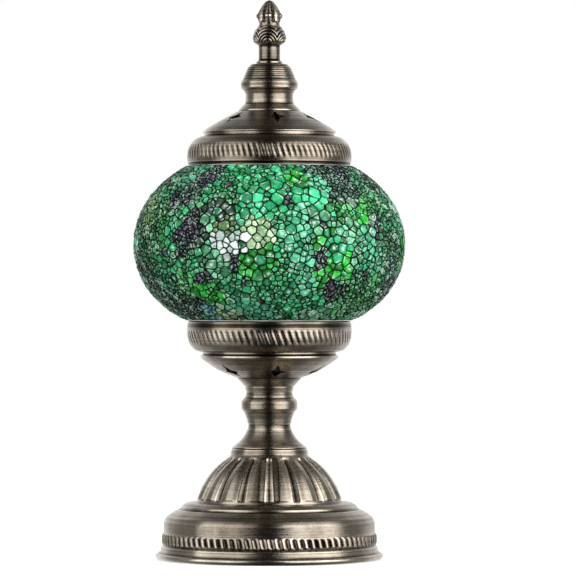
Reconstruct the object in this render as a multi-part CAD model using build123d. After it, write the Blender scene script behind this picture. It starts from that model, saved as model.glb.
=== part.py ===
"""Mosaic glass table lamp: one STEP file for each separate piece, in millimetres.

The lamp stands on the plane z = 0 with its axis on +Z, and its front faces -Y. A hollow threaded pipe
clamps the metal column together. A steel harp rises round the bulb and ends in a threaded stud, and the
finial screws down on that stud to hold the cap on the loose glass globe.
"""

import os
from math import cos, pi, radians, sin, sqrt

from build123d import *

# Base
FELT_R, FELT_TOP = 65.0, 2.0
PLATE_TOP = 3.2
WEIGHT_R, WEIGHT_BORE_R, WEIGHT_BOTTOM, WEIGHT_TOP = 58.0, 12.0, 3.3, 11.3
DRUM_R, DRUM_WALL, DRUM_EDGE_Z = 66.4, 1.2, 1.6
RIM_R, RIM_TUBE_R, RIM_Z = 69.4, 2.2, 2.7
ROPE_BOTTOM, ROPE_TOP, ROPE_PROUD = 7.4, 15.6, 1.1
SHOULDER_Z, STEP_R, DRUM_TOP = 29.9, 55.6, 37.2

# Cord inlet, in the back of the drum
GROMMET_Z, GROMMET_BORE_R, GROMMET_NECK_R, GROMMET_FLANGE_R = 19.7, 2.6, 3.4, 3.9
GROMMET_IN, GROMMET_OUT = 62.8, 67.3
DRUM_HOLE_R = 3.5

# Fluted dome
DOME_FOOT_R, DOME_TOP_R, DOME_TOP = 45.6, 24.6, 65.2
FLUTES, FLUTE_DEPTH, FLUTE_WIDE, FLUTE_NARROW = 16, 2.4, 8.4, 4.6

# Column
TRUMPET_TOP, SPOOL_TOP = 84.6, 108.6
COLUMN_BORE_R = 5.2

# Lower cup and upper cap, both spun from sheet
SHEET = 1.1
CUP_RIM_R, CUP_RIM_Z = 51.3, 149.2
CAP_RIM_R, CAP_RIM_Z, CAP_TOP = 51.3, 247.2, 281.0
SEAT_R, SEAT_W, SEAT_T = 50.0, 4.0, 2.0
STARS, STAR_AZIMUTH = 6, 9.0
CAP_STAR_R, CAP_STAR_LONG, CAP_STAR_WIDE = 27.5, 5.6, 3.9
CUP_STAR_R, CUP_STAR_LONG, CUP_STAR_WIDE = 29.5, 6.4, 4.3
CAP_SPOOL_TOP = 310.9

# Glass globe: a belly arc, a flatter shoulder arc above and below it, and a short neck at each end
GLOBE_R, GLOBE_Z, BELLY_R, BELLY_ANGLE, SHOULDER_R = 85.2, 198.1, 49.4, 37.4, 60.8
NECK_CENTRE_R = 56.0
GLASS_T, GLASS_NECK_R, GLASS_HALF_HEIGHT = 2.8, 48.7, 53.6
MOSAIC_T, MOSAIC_NECK_R, MOSAIC_HALF_HEIGHT, GLUE_GAP = 1.6, 52.0, 48.6, 0.05

# Threaded pipe, its nuts and washers
PIPE_R, PIPE_BORE_R, PIPE_BOTTOM, PIPE_TOP = 5.0, 3.8, 28.5, 127.0
PIPE_NUT_ACROSS, PIPE_NUT_T, THIN_NUT_T, PIPE_WASHER_R, WASHER_T = 14.0, 5.0, 3.0, 9.5, 1.2

# Harp and its stud
HARP_T, HARP_W, HARP_HALF, HARP_FOOT_HALF = 1.5, 8.0, 34.0, 18.0
HARP_FOOT_Z, HARP_KNEE_Z, HARP_TOP, HARP_ARCH_R = 116.2, 132.0, 268.0, 27.0
STUD_R, STUD_BOTTOM, STUD_TOP = 3.0, 261.0, 319.0
STUD_NUT_ACROSS, STUD_NUT_T = 10.0, 4.6

# Lampholder for a 12 mm screw base, and its leads
HOLDER_Z, HOLDER_FLOOR, HOLDER_TOP = 120.8, 131.0, 158.5
HOLDER_R, HOLDER_BORE_R, HOLDER_CAP_R = 10.2, 7.4, 10.9
SHELL_R, SHELL_BORE_R, SHELL_TOP = 6.6, 6.2, 157.6
LEAD_R, LEAD_X, LEAD_BEND_R, LEAD_Z = 1.0, 2.6, 9.0, 14.2
CRIMP_R, CRIMP_MOUTH_Y, CRIMP_LENGTH, CRIMP_DEPTH = 2.4, 14.0, 15.0, 6.0

# Bulb
BULB_TIP_Z, BULB_BASE_Z, BULB_NECK_Z, BULB_WIDE_Z, BULB_TOP = 136.9, 141.2, 158.2, 184.0, 236.0
BULB_BASE_R, BULB_NECK_R, BULB_R, BULB_WALL = 5.9, 6.6, 17.5, 0.8
FILAMENTS, FILAMENT_R, FILAMENT_RING_R = 4, 0.9, 5.0
FILAMENT_BOTTOM, FILAMENT_TOP = 176.0, 208.0

# Finial
FINIAL_Z, FINIAL_TOP, FINIAL_STEM_R = 311.0, 350.6, 6.6
INSERT_R, INSERT_BORE_R, INSERT_TOP = 4.9, 3.1, 320.4

PARTS = "parts"


def turned(points, radii):
    """A solid turned about Z from a closed outline of (radius, height) corners, each with its fillet."""
    line = FilletPolyline(*[(r, 0, z) for r, z in points], radius=radii, close=True)
    return revolve(make_face(line.edges()), Axis.Z)


def ring(inner, outer, bottom, top):
    """A flat ring, or a disc where inner is 0."""
    solid = extrude(Circle(outer), top - bottom)
    if inner:
        solid -= extrude(Circle(inner), top - bottom)
    return Pos(0, 0, bottom) * solid


def hex_nut(across, bore, bottom, thickness):
    """A hexagon nut with its corners turned off."""
    corner_r = across / 2 / cos(pi / 6)
    nut = Pos(0, 0, bottom) * extrude(RegularPolygon(corner_r, 6), thickness)
    chamfer_r = corner_r - across * 0.04
    barrel = ring(0, corner_r, bottom, bottom + thickness)
    barrel = chamfer(barrel.edges().filter_by(GeomType.CIRCLE), corner_r - chamfer_r)
    return (nut & barrel) - ring(0, bore, bottom, bottom + thickness)


def star_prism(radius, length, width, azimuth, bottom, top):
    """An upright cutter with a four-pointed star for its section, its long points along the radius."""
    waist = 0.42
    tips = [(length, 0), (0, width), (-length, 0), (0, -width)]
    sides = []
    for i, tip in enumerate(tips):
        after = tips[(i + 1) % len(tips)]
        hollow = (waist * (tip[0] + after[0]), waist * (tip[1] + after[1]))
        sides.append(ThreePointArc(tip, hollow, after))
    prism = extrude(make_face(Curve() + sides), top - bottom)
    return Rot(0, 0, azimuth) * Pos(radius, 0, bottom) * prism


def pierced(shell, radius, length, width, bottom, top):
    """The shell with its ring of stars cut through."""
    for i in range(STARS):
        azimuth = -90 + STAR_AZIMUTH + i * 360 / STARS
        shell -= star_prism(radius, length, width, azimuth, bottom, top)
    return shell


# Base


def felt_pad():
    return ring(0, FELT_R, 0, FELT_TOP)


def base_plate():
    return ring(0, DRUM_R - DRUM_WALL, FELT_TOP, PLATE_TOP)


def base_weight():
    weight = ring(WEIGHT_BORE_R, WEIGHT_R, WEIGHT_BOTTOM, WEIGHT_TOP)
    return chamfer(weight.edges().group_by(Axis.Z)[-1], 1.0)


def base_shell():
    """The drum with its rope band, stepped shoulder, flat top and rolled foot rim."""
    inner_r = DRUM_R - DRUM_WALL
    rope_r = DRUM_R + ROPE_PROUD
    outline = [
        (inner_r, DRUM_EDGE_Z),
        (RIM_R - 1.6, DRUM_EDGE_Z),
        (RIM_R - 0.8, RIM_Z + 1.9),
        (DRUM_R, RIM_Z + 3.3),
        (DRUM_R, ROPE_BOTTOM),
        (rope_r, ROPE_BOTTOM + 1.2),
        (rope_r, ROPE_TOP - 1.2),
        (DRUM_R, ROPE_TOP),
        (DRUM_R - 0.3, 22.8),
        (DRUM_R - 2.4, 27.0),
        (STEP_R + 1.4, SHOULDER_Z),
        (STEP_R, SHOULDER_Z + 0.4),
        (STEP_R - 0.6, 33.6),
        (STEP_R - 4.4, 36.7),
        (DOME_FOOT_R + 1.0, DRUM_TOP),
        (COLUMN_BORE_R, DRUM_TOP),
        (COLUMN_BORE_R, DRUM_TOP - DRUM_WALL),
        (STEP_R - 7.0, DRUM_TOP - DRUM_WALL),
        (STEP_R - 1.8, 32.8),
        (STEP_R - 1.2, 28.9),
        (DRUM_R - 3.6, 26.0),
        (inner_r, 22.2),
    ]
    radii = [0, 0, 0, 1.5, 0, 0.8, 0.8, 0, 3, 3, 0.4, 0.4, 2, 3, 0, 0, 0, 2, 1, 0.4, 2, 2]
    drum = turned(outline, radii)
    rim = Pos(0, 0, RIM_Z) * Torus(RIM_R, RIM_TUBE_R)
    return drum + rim - inlet_rod(DRUM_HOLE_R, DRUM_R - 6, DRUM_R + 6)


def inlet_rod(radius, start, end):
    """A rod on the cord inlet's axis, between two distances behind the lamp's axis."""
    rod = Cylinder(radius, end - start, align=(Align.CENTER, Align.CENTER, Align.MIN))
    return Pos(0, start, GROMMET_Z) * Rot(-90, 0, 0) * rod


def cord_grommet():
    """A rubber bush with a flange on each side of the drum's wall, bored for the cord."""
    neck = inlet_rod(GROMMET_NECK_R, GROMMET_IN, GROMMET_OUT)
    inner = inlet_rod(GROMMET_FLANGE_R, GROMMET_IN, DRUM_R - DRUM_WALL - 1.3)
    outer = inlet_rod(GROMMET_FLANGE_R, DRUM_R + 0.1, GROMMET_OUT)
    outer = chamfer(outer.edges().group_by(Axis.Y)[-1], 0.4)
    return neck + inner + outer - inlet_rod(GROMMET_BORE_R, GROMMET_IN, GROMMET_OUT)


def dome_arc(inset):
    """The dome's meridian, moved inwards by inset."""
    return ThreePointArc(
        (DOME_FOOT_R - 0.6 - inset, 0, DRUM_TOP + 1.2),
        (39.4 - inset * 0.8, 0, 49.8 - inset * 0.5),
        (DOME_TOP_R - inset * 0.6, 0, DOME_TOP - inset * 0.9),
    )


def fluted_dome():
    """A cast dome with V-shaped flutes that narrow towards the top."""
    wall = 4.4
    outer, inner = dome_arc(0), dome_arc(wall)
    foot = Polyline(
        inner @ 0,
        (DOME_FOOT_R - 0.6 - wall, 0, DRUM_TOP),
        (DOME_FOOT_R, 0, DRUM_TOP),
        (DOME_FOOT_R, 0, DRUM_TOP + 1.2),
        outer @ 0,
    )
    seat = Polyline(
        outer @ 1,
        (COLUMN_BORE_R, 0, DOME_TOP),
        (COLUMN_BORE_R, 0, (inner @ 1).Z),
        inner @ 1,
    )
    dome = revolve(make_face([outer, inner, *foot.edges(), *seat.edges()]), Axis.Z)
    path = dome_arc(0)
    sections = [v_section(path, 0.02, FLUTE_WIDE), v_section(path, 0.98, FLUTE_NARROW)]
    flute = sweep(sections, path, multisection=True)
    for i in range(FLUTES):
        dome -= Rot(0, 0, -90 + i * 360 / FLUTES) * flute
    return dome


def v_section(path, at, width):
    """The triangle that cuts a flute, square to the dome's meridian."""
    plane = Plane(origin=path @ at, x_dir=(0, 1, 0), z_dir=path % at)
    proud = 1.0
    half = width / 2 * (1 + proud / FLUTE_DEPTH)
    outward = 1 if (plane.y_dir.X > 0) else -1
    return plane * make_face(
        Polyline((-half, outward * proud), (half, outward * proud), (0, -outward * FLUTE_DEPTH), close=True)
    )


# Column


def stem_trumpet():
    """The flared foot of the column, with a plain collar at its bottom."""
    flare = ThreePointArc((22.0, 0, 71.0), (16.3, 0, 76.0), (13.1, 0, 83.4))
    hollow = ThreePointArc((11.8, 0, 83.2), (14.8, 0, 75.4), (20.4, 0, 69.8))
    sides = [
        flare,
        *Polyline(flare @ 1, (13.5, 0, TRUMPET_TOP), (COLUMN_BORE_R, 0, TRUMPET_TOP)).edges(),
        *Polyline((COLUMN_BORE_R, 0, TRUMPET_TOP), (COLUMN_BORE_R, 0, 83.2), hollow @ 0).edges(),
        hollow,
        *Polyline(hollow @ 1, (22.4, 0, DOME_TOP), (23.9, 0, DOME_TOP)).edges(),
        *Polyline((23.9, 0, DOME_TOP), (24.2, 0, 66.0), (23.6, 0, 69.6), (22.9, 0, 70.6), flare @ 0).edges(),
    ]
    return revolve(make_face(sides), Axis.Z)


def stem_spool():
    """The waisted spool above the trumpet, with a rounded belt round its middle."""
    outline = [
        (COLUMN_BORE_R, SPOOL_TOP),
        (COLUMN_BORE_R, SPOOL_TOP - 2),
        (9, SPOOL_TOP - 2),
        (9, TRUMPET_TOP),
        (13.3, TRUMPET_TOP),
        (14.1, 88.0),
        (15.7, 92.2),
        (16.2, 92.6),
        (17.5, 94.6),
        (17.5, 98.6),
        (16.3, 100.6),
        (15.4, 101.0),
        (14.2, 104.4),
        (15.5, SPOOL_TOP),
    ]
    return turned(outline, [0, 0, 0, 0, 0, 3, 0, 0.3, 1.4, 1.4, 0.3, 0.3, 3, 0])


# Lower cup, upper cap and its spool


def spun(points, radii, wall, side):
    """A sheet of even thickness turned about Z, from the open outline of its outer face."""
    outer = FilletPolyline(*[(r, z) for r, z in points], radius=radii)
    ribbon = offset(outer, amount=wall, side=side)
    return revolve(Rot(90, 0, 0) * make_face(ribbon.edges()), Axis.Z)


def cup_shell():
    """The bowl that carries the globe: a small foot, a pierced bowl and a deep plain rim."""
    outline = [
        (COLUMN_BORE_R, SPOOL_TOP),
        (15.4, SPOOL_TOP),
        (18.5, 111.6),
        (20.0, 113.7),
        (26.0, 115.8),
        (32.0, 118.5),
        (37.6, 122.0),
        (42.0, 126.0),
        (43.4, 129.2),
        (42.6, 130.8),
        (46.2, 131.9),
        (49.7, 134.9),
        (51.2, 138.8),
        (CUP_RIM_R + 0.4, 143.6),
        (CUP_RIM_R, CUP_RIM_Z),
    ]
    shell = spun(outline, [0.5, 2, 0.4, 10, 14, 14, 4, 1.3, 1.3, 5, 5, 8, 8], SHEET, Side.LEFT)
    return pierced(shell, CUP_STAR_R, CUP_STAR_LONG, CUP_STAR_WIDE, 112, 128)


def cap_shell():
    """The domed cover of the globe, pierced like the cup."""
    outline = [
        (STUD_R + 0.4, CAP_TOP),
        (19.8, CAP_TOP),
        (26.0, 278.4),
        (33.0, 274.9),
        (39.2, 270.7),
        (43.1, 266.6),
        (42.4, 265.0),
        (46.6, 263.7),
        (49.6, 260.4),
        (51.2, 256.4),
        (CAP_RIM_R + 0.3, 252.0),
        (CAP_RIM_R, CAP_RIM_Z),
    ]
    shell = spun(outline, [1, 14, 14, 8, 1.3, 1.3, 5, 6, 8, 8], SHEET, Side.RIGHT)
    return pierced(shell, CAP_STAR_R, CAP_STAR_LONG, CAP_STAR_WIDE, 268, 284)


def cap_spool():
    """The turned neck between the cap and the finial."""
    outline = [
        (STUD_R + 0.4, CAP_SPOOL_TOP),
        (11.6, CAP_SPOOL_TOP),
        (13.4, 308.8),
        (15.4, 304.0),
        (16.5, 300.9),
        (17.2, 300.4),
        (17.8, 298.8),
        (17.8, 295.4),
        (16.3, 294.6),
        (14.7, 292.0),
        (14.7, 288.8),
        (15.6, 286.4),
        (16.6, 286.0),
        (18.8, 283.6),
        (19.4, CAP_TOP),
        (18.0, CAP_TOP),
        (17.4, 283.0),
        (13.4, 286.4),
        (13.4, 293.0),
        (15.6, 297.0),
        (12.2, 307.0),
        (10.8, 309.6),
        (STUD_R + 0.4, 309.6),
    ]
    radii = [0, 1, 2, 4, 0.3, 0.3, 0.8, 0.4, 0.4, 2.5, 2.5, 0.3, 0.3, 2, 0, 0, 1, 1.5, 1.5, 1, 1, 0.5, 0]
    return turned(outline, radii)


def seat_ring(bottom):
    """The soft ring that the end of a glass neck rests on."""
    return ring(SEAT_R - SEAT_W, SEAT_R, bottom, bottom + SEAT_T)


def cup_seat_ring():
    return seat_ring(GLOBE_Z - GLASS_HALF_HEIGHT - 0.3 - SEAT_T)


def cap_seat_ring():
    return seat_ring(GLOBE_Z + GLASS_HALF_HEIGHT + 0.3)


# Glass globe


def globe_fill(inset, neck_r):
    """The solid inside the globe's outline, moved inwards by inset, with necks of the given radius."""
    belly = Vector(GLOBE_R - BELLY_R, 0, 0)
    outwards = Vector(cos(radians(BELLY_ANGLE)), 0, sin(radians(BELLY_ANGLE)))
    shoulder = belly - outwards * (SHOULDER_R - BELLY_R)
    shoulder_r = SHOULDER_R - inset
    reach = shoulder_r + NECK_CENTRE_R - neck_r
    neck_rise = sqrt(reach**2 - (NECK_CENTRE_R - shoulder.X) ** 2)
    neck = Vector(NECK_CENTRE_R, 0, shoulder.Z + neck_rise)
    widest = Vector(GLOBE_R - inset, 0, 0)
    belly_arc = TangentArc(widest, belly + outwards * (BELLY_R - inset), tangent=(0, 0, 1))
    shoulder_end = shoulder + (neck - shoulder) * (shoulder_r / reach)
    shoulder_arc = TangentArc(belly_arc @ 1, shoulder_end, tangent=belly_arc % 1)
    neck_arc = TangentArc(shoulder_arc @ 1, (neck_r, 0, neck.Z), tangent=shoulder_arc % 1)
    end_z = GLASS_HALF_HEIGHT
    sides = Polyline(neck_arc @ 1, (neck_r, 0, end_z), (0, 0, end_z), (0, 0, 0), widest)
    upper = revolve(make_face([belly_arc, shoulder_arc, neck_arc, *sides.edges()]), Axis.Z)
    return Pos(0, 0, GLOBE_Z) * (upper + mirror(upper, Plane.XY))


def glass_globe():
    outside = globe_fill(MOSAIC_T + GLUE_GAP, GLASS_NECK_R)
    return outside - globe_fill(MOSAIC_T + GLUE_GAP + GLASS_T, GLASS_NECK_R - GLASS_T)


def mosaic_layer():
    """The skin of glass chips and grout, which stops just short of the two metal rims."""
    skin = globe_fill(0, MOSAIC_NECK_R) - globe_fill(MOSAIC_T, GLASS_NECK_R + GLUE_GAP)
    return skin & ring(0, GLOBE_R + 1, GLOBE_Z - MOSAIC_HALF_HEIGHT, GLOBE_Z + MOSAIC_HALF_HEIGHT)


# Pipe, nuts and washers


def threaded_pipe():
    return ring(PIPE_BORE_R, PIPE_R, PIPE_BOTTOM, PIPE_TOP)


def lower_washer():
    top = DRUM_TOP - DRUM_WALL
    return ring(COLUMN_BORE_R, PIPE_WASHER_R, top - WASHER_T, top)


def lower_nut():
    top = DRUM_TOP - DRUM_WALL - WASHER_T
    return hex_nut(PIPE_NUT_ACROSS, PIPE_R + 0.05, top - PIPE_NUT_T, PIPE_NUT_T)


def cup_washer():
    bottom = SPOOL_TOP + SHEET
    return ring(COLUMN_BORE_R, PIPE_WASHER_R, bottom, bottom + WASHER_T)


def cup_nut():
    bottom = SPOOL_TOP + SHEET + WASHER_T
    return hex_nut(PIPE_NUT_ACROSS, PIPE_R + 0.05, bottom, HARP_FOOT_Z - bottom)


def harp_nut():
    return hex_nut(PIPE_NUT_ACROSS, PIPE_R + 0.05, HARP_FOOT_Z + HARP_T, THIN_NUT_T)


# Harp


def harp():
    """A flat steel strip bent into a tall loop, clamped at its foot and drilled at its crown."""
    foot_z = HARP_FOOT_Z + HARP_T / 2
    corners = [(HARP_FOOT_HALF, foot_z), (HARP_HALF, HARP_KNEE_Z), (HARP_HALF, HARP_TOP)]
    corners += [(-x, z) for x, z in reversed(corners)]
    loop = FilletPolyline(*corners, radius=[5, 8, HARP_ARCH_R, HARP_ARCH_R, 8, 5], close=True)
    outside = make_face(offset(loop, amount=HARP_T / 2).edges())
    inside = make_face(offset(loop, amount=-HARP_T / 2).edges())
    strip = Rot(90, 0, 0) * extrude(outside - inside, HARP_W / 2, both=True)
    strip -= ring(0, COLUMN_BORE_R, HARP_FOOT_Z - 1, HARP_FOOT_Z + HARP_T + 1)
    return strip - ring(0, STUD_R + 0.1, HARP_TOP - HARP_T, HARP_TOP + HARP_T)


def harp_stud():
    stud = ring(0, STUD_R, STUD_BOTTOM, STUD_TOP)
    return chamfer(stud.edges().filter_by(GeomType.CIRCLE), 0.6)


def stud_nuts():
    """Two nuts that lock the stud in the harp's crown."""
    gap = HARP_T / 2 + 0.05
    below = hex_nut(STUD_NUT_ACROSS, STUD_R + 0.05, HARP_TOP - gap - STUD_NUT_T, STUD_NUT_T)
    above = hex_nut(STUD_NUT_ACROSS, STUD_R + 0.05, HARP_TOP + gap, STUD_NUT_T)
    return Compound([below.solid(), above.solid()])


# Lampholder


def holder_cap():
    """The metal cup that screws on the pipe and closes the lampholder's bottom."""
    outline = [
        (PIPE_R + 0.05, HOLDER_Z),
        (8.4, HOLDER_Z),
        (HOLDER_CAP_R, 124.4),
        (HOLDER_CAP_R, HOLDER_FLOOR + 3),
        (HOLDER_R + 0.1, HOLDER_FLOOR + 3),
        (HOLDER_R - 0.2, 125.2),
        (7.6, 122.4),
        (PIPE_R + 0.05, 122.4),
    ]
    return turned(outline, [0, 2, 2, 0, 0, 1.5, 1.5, 0])


def holder_body():
    """The moulded sleeve round the screw shell."""
    sleeve = ring(HOLDER_BORE_R, HOLDER_R, HOLDER_FLOOR, HOLDER_TOP)
    return fillet(sleeve.edges().group_by(Axis.Z)[-1], 0.6)


def holder_insulator():
    """The moulded floor that carries the shell, the tongue and the two terminals."""
    floor = ring(0, HOLDER_BORE_R - 0.1, HOLDER_FLOOR, HOLDER_FLOOR + 4)
    for side in (-1, 1):
        floor -= Pos(side * 4.9, 0, 0) * ring(0, 1.3, HOLDER_FLOOR, HOLDER_FLOOR + 2)
    return floor


def screw_shell():
    """The brass shell that takes the bulb, with an inward lip on the insulator."""
    bottom = HOLDER_FLOOR + 4
    outline = [
        (SHELL_BORE_R, bottom + 0.4),
        (4.0, bottom + 0.4),
        (4.0, bottom),
        (SHELL_R, bottom),
        (SHELL_R, SHELL_TOP - 0.6),
        (HOLDER_BORE_R - 0.2, SHELL_TOP),
        (SHELL_BORE_R, SHELL_TOP),
    ]
    return turned(outline, [0] * len(outline))


def contact_tongue():
    """The sprung brass tongue under the bulb's tip."""
    bottom = HOLDER_FLOOR + 4
    side = Polyline(
        (-3.4, bottom),
        (-0.6, bottom),
        (2.6, bottom + 1.3),
        (2.6, bottom + 1.6),
        (-0.8, bottom + 0.4),
        (-3.4, bottom + 0.4),
        close=True,
    )
    return Rot(90, 0, 0) * extrude(make_face(side), 1.5, both=True)


def terminal_screws():
    """The two screws that hold the leads, heads down in the insulator."""
    screws = []
    for side in (-1, 1):
        head = ring(0, 1.2, HOLDER_FLOOR + 0.3, HOLDER_FLOOR + 1.9)
        slot = Pos(0, 0, HOLDER_FLOOR + 0.3) * Box(3, 0.4, 0.8)
        screws.append((Pos(side * 4.9, 0, 0) * (head - slot)).solid())
    return Compound(screws)


def lead(side):
    """One insulated lead, from the lampholder down the pipe and round into its crimp cap."""
    x = side * LEAD_X
    path = FilletPolyline(
        (x, 0, HOLDER_FLOOR),
        (x, 0, LEAD_Z),
        (x, CRIMP_MOUTH_Y + CRIMP_DEPTH - 0.2, LEAD_Z),
        radius=LEAD_BEND_R,
    )
    section = Plane(origin=path @ 0, z_dir=path % 0) * Circle(LEAD_R)
    return sweep(section, path)


def crimp_caps():
    """Two closed nylon caps that join the leads to the cord."""
    caps = []
    for side in (-1, 1):
        cap = Cylinder(CRIMP_R, CRIMP_LENGTH)
        cap = fillet(cap.edges().group_by(Axis.Z)[0], 1.2)
        cap -= Pos(0, 0, CRIMP_LENGTH / 2) * Cylinder(LEAD_R + 0.1, 2 * CRIMP_DEPTH)
        middle = CRIMP_MOUTH_Y + CRIMP_LENGTH / 2
        caps.append((Pos(side * LEAD_X, middle, LEAD_Z) * Rot(90, 0, 0) * cap).solid())
    return Compound(caps)


# Bulb


def bulb_tip():
    """The solder button under the bulb."""
    button = ring(0, 2.2, BULB_TIP_Z, BULB_TIP_Z + 1.6)
    return fillet(button.edges().group_by(Axis.Z)[0], 0.7)


def bulb_insulator():
    """The black glass cone between the button and the screw base."""
    bottom = BULB_TIP_Z + 1.65
    outline = [(0, bottom), (3.0, bottom), (BULB_BASE_R - 0.3, BULB_BASE_Z), (0, BULB_BASE_Z)]
    return turned(outline, [0] * 4)


def bulb_base():
    """The brass screw base."""
    outline = [
        (BULB_BASE_R - 0.5, BULB_BASE_Z),
        (BULB_BASE_R, BULB_BASE_Z),
        (BULB_BASE_R, BULB_NECK_Z),
        (BULB_NECK_R + 0.5, BULB_NECK_Z + 2.6),
        (BULB_NECK_R, BULB_NECK_Z + 2.6),
        (BULB_BASE_R - 0.5, BULB_NECK_Z),
    ]
    return turned(outline, [0] * 6)


def bulb_curve(inset):
    """The meridian of the candle-shaped envelope."""
    return Spline(
        (BULB_NECK_R - 0.7 - inset, 0, BULB_NECK_Z + 1.6),
        (11.6 - inset, 0, 168.0),
        (BULB_R - inset, 0, BULB_WIDE_Z),
        (14.6 - inset, 0, 205.0),
        (8.4 - inset, 0, 222.0),
        (0, 0, BULB_TOP - inset),
        tangents=[(0.2, 0, 1), (-1, 0, 0)],
    )


def bulb_envelope():
    outer, inner = bulb_curve(0), bulb_curve(BULB_WALL)
    ends = [Line(outer @ 0, inner @ 0), Line(outer @ 1, inner @ 1)]
    return revolve(make_face([outer, inner, *ends]), Axis.Z)


def bulb_stem():
    """The glass stem that carries the filaments."""
    outline = [
        (0, BULB_NECK_Z + 1.6),
        (5.0, BULB_NECK_Z + 1.6),
        (2.2, 166.0),
        (1.6, FILAMENT_BOTTOM),
        (1.2, FILAMENT_TOP - 6),
        (0, FILAMENT_TOP - 6),
    ]
    return turned(outline, [0, 0, 2, 4, 0, 0])


def bulb_filaments():
    rods = []
    for i in range(FILAMENTS):
        rod = ring(0, FILAMENT_R, FILAMENT_BOTTOM, FILAMENT_TOP)
        rods.append((Rot(0, 0, 45 + i * 360 / FILAMENTS) * Pos(FILAMENT_RING_R, 0, 0) * rod).solid())
    return Compound(rods)


# Finial


def finial():
    """The cast bud: a plain stem, a round lower bulb and a pointed, ribbed tip."""
    stem = Polyline(
        (0, 0, INSERT_TOP + 0.1),
        (INSERT_R + 0.05, 0, INSERT_TOP + 0.1),
        (INSERT_R + 0.05, 0, FINIAL_Z),
        (8.3, 0, FINIAL_Z),
        (8.3, 0, FINIAL_Z + 0.7),
        (FINIAL_STEM_R, 0, FINIAL_Z + 1.9),
        (FINIAL_STEM_R, 0, 322.4),
        (8.6, 0, 323.2),
    )
    bulb = Spline((8.6, 0, 323.2), (10.3, 0, 326.4), (9.3, 0, 330.2), (6.1, 0, 335.4))
    bud = Spline(
        (6.1, 0, 335.4),
        (7.2, 0, 340.0),
        (4.9, 0, 345.6),
        (0, 0, FINIAL_TOP),
        tangents=[(0.6, 0, 1), (-1, 0, 0.5)],
    )
    axis = Line((0, 0, FINIAL_TOP), (0, 0, INSERT_TOP + 0.1))
    casting = revolve(make_face([*stem.edges(), bulb, bud, axis]), Axis.Z)
    ribs = 8
    for i in range(ribs):
        groove = Rot(0, 0, (i + 0.5) * 360 / ribs) * Pos(7.9, 0, 341) * Rot(0, -16, 0) * Cylinder(1.5, 16)
        casting -= groove
    return casting


def finial_insert():
    """The brass bush that runs on the stud."""
    bush = ring(0, INSERT_R, FINIAL_Z + 0.1, INSERT_TOP)
    return bush - ring(0, INSERT_BORE_R, FINIAL_Z + 0.1, INSERT_TOP - 1.0)


NODES = {
    "felt_pad": felt_pad,
    "base_plate": base_plate,
    "base_weight": base_weight,
    "base_shell": base_shell,
    "cord_grommet": cord_grommet,
    "fluted_dome": fluted_dome,
    "stem_trumpet": stem_trumpet,
    "stem_spool": stem_spool,
    "cup_shell": cup_shell,
    "cup_seat_ring": cup_seat_ring,
    "threaded_pipe": threaded_pipe,
    "lower_washer": lower_washer,
    "lower_nut": lower_nut,
    "cup_washer": cup_washer,
    "cup_nut": cup_nut,
    "harp_nut": harp_nut,
    "harp": harp,
    "harp_stud": harp_stud,
    "stud_nuts": stud_nuts,
    "holder_cap": holder_cap,
    "holder_body": holder_body,
    "holder_insulator": holder_insulator,
    "screw_shell": screw_shell,
    "contact_tongue": contact_tongue,
    "terminal_screws": terminal_screws,
    "lead_live": lambda: lead(1),
    "lead_neutral": lambda: lead(-1),
    "crimp_caps": crimp_caps,
    "glass_globe": glass_globe,
    "mosaic_layer": mosaic_layer,
    "cap_shell": cap_shell,
    "cap_spool": cap_spool,
    "cap_seat_ring": cap_seat_ring,
    "finial": finial,
    "finial_insert": finial_insert,
    "bulb_tip": bulb_tip,
    "bulb_insulator": bulb_insulator,
    "bulb_base": bulb_base,
    "bulb_stem": bulb_stem,
    "bulb_filaments": bulb_filaments,
    "bulb_envelope": bulb_envelope,
}

os.makedirs(PARTS, exist_ok=True)
for name, make in NODES.items():
    export_step(make(), os.path.join(PARTS, f"{name}.step"))
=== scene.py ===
from math import acos, atan2, ceil, cos, degrees, hypot, pi, radians, sin, sqrt, tan

import bmesh
import bpy
import numpy as np
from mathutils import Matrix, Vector, noise
from mathutils.kdtree import KDTree


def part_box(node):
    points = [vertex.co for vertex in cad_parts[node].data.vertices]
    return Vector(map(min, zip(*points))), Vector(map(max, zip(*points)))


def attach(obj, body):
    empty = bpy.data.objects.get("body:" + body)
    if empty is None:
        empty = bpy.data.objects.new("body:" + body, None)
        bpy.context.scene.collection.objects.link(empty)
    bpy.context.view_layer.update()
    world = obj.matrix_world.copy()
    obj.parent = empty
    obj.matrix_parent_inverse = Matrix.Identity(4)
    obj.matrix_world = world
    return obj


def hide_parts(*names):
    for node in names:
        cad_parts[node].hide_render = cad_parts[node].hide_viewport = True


# Lengths are in millimetres, apart from what goes to Blender, which is in metres. An azimuth is measured
# about the lamp's axis, from the front (-Y) towards +X.
MM = 0.001

CAMERA_DISTANCE, CAMERA_HEIGHT, CAMERA_RIGHT, CAMERA_LENS = 2600, 170.0, 11.7, 259

# The room round the lamp: the sideways and backward parts of a direction, and the light from there.
SIDE_START, SIDE_END, SIDE_DARK, SIDE_LIGHT = 0.07, 0.92, 0.015, 0.36
WALL_START, WALL_END, WALL_LIGHT = 0.40, 0.95, 1.0

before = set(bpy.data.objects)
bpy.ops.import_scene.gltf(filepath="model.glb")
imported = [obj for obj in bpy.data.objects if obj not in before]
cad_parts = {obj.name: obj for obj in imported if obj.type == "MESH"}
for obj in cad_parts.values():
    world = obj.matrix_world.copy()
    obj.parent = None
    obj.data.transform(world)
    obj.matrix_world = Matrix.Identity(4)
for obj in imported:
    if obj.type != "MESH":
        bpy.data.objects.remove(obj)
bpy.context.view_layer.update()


def low(node):
    """The height of a CAD node's lowest point."""
    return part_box(node)[0].z / MM


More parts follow.
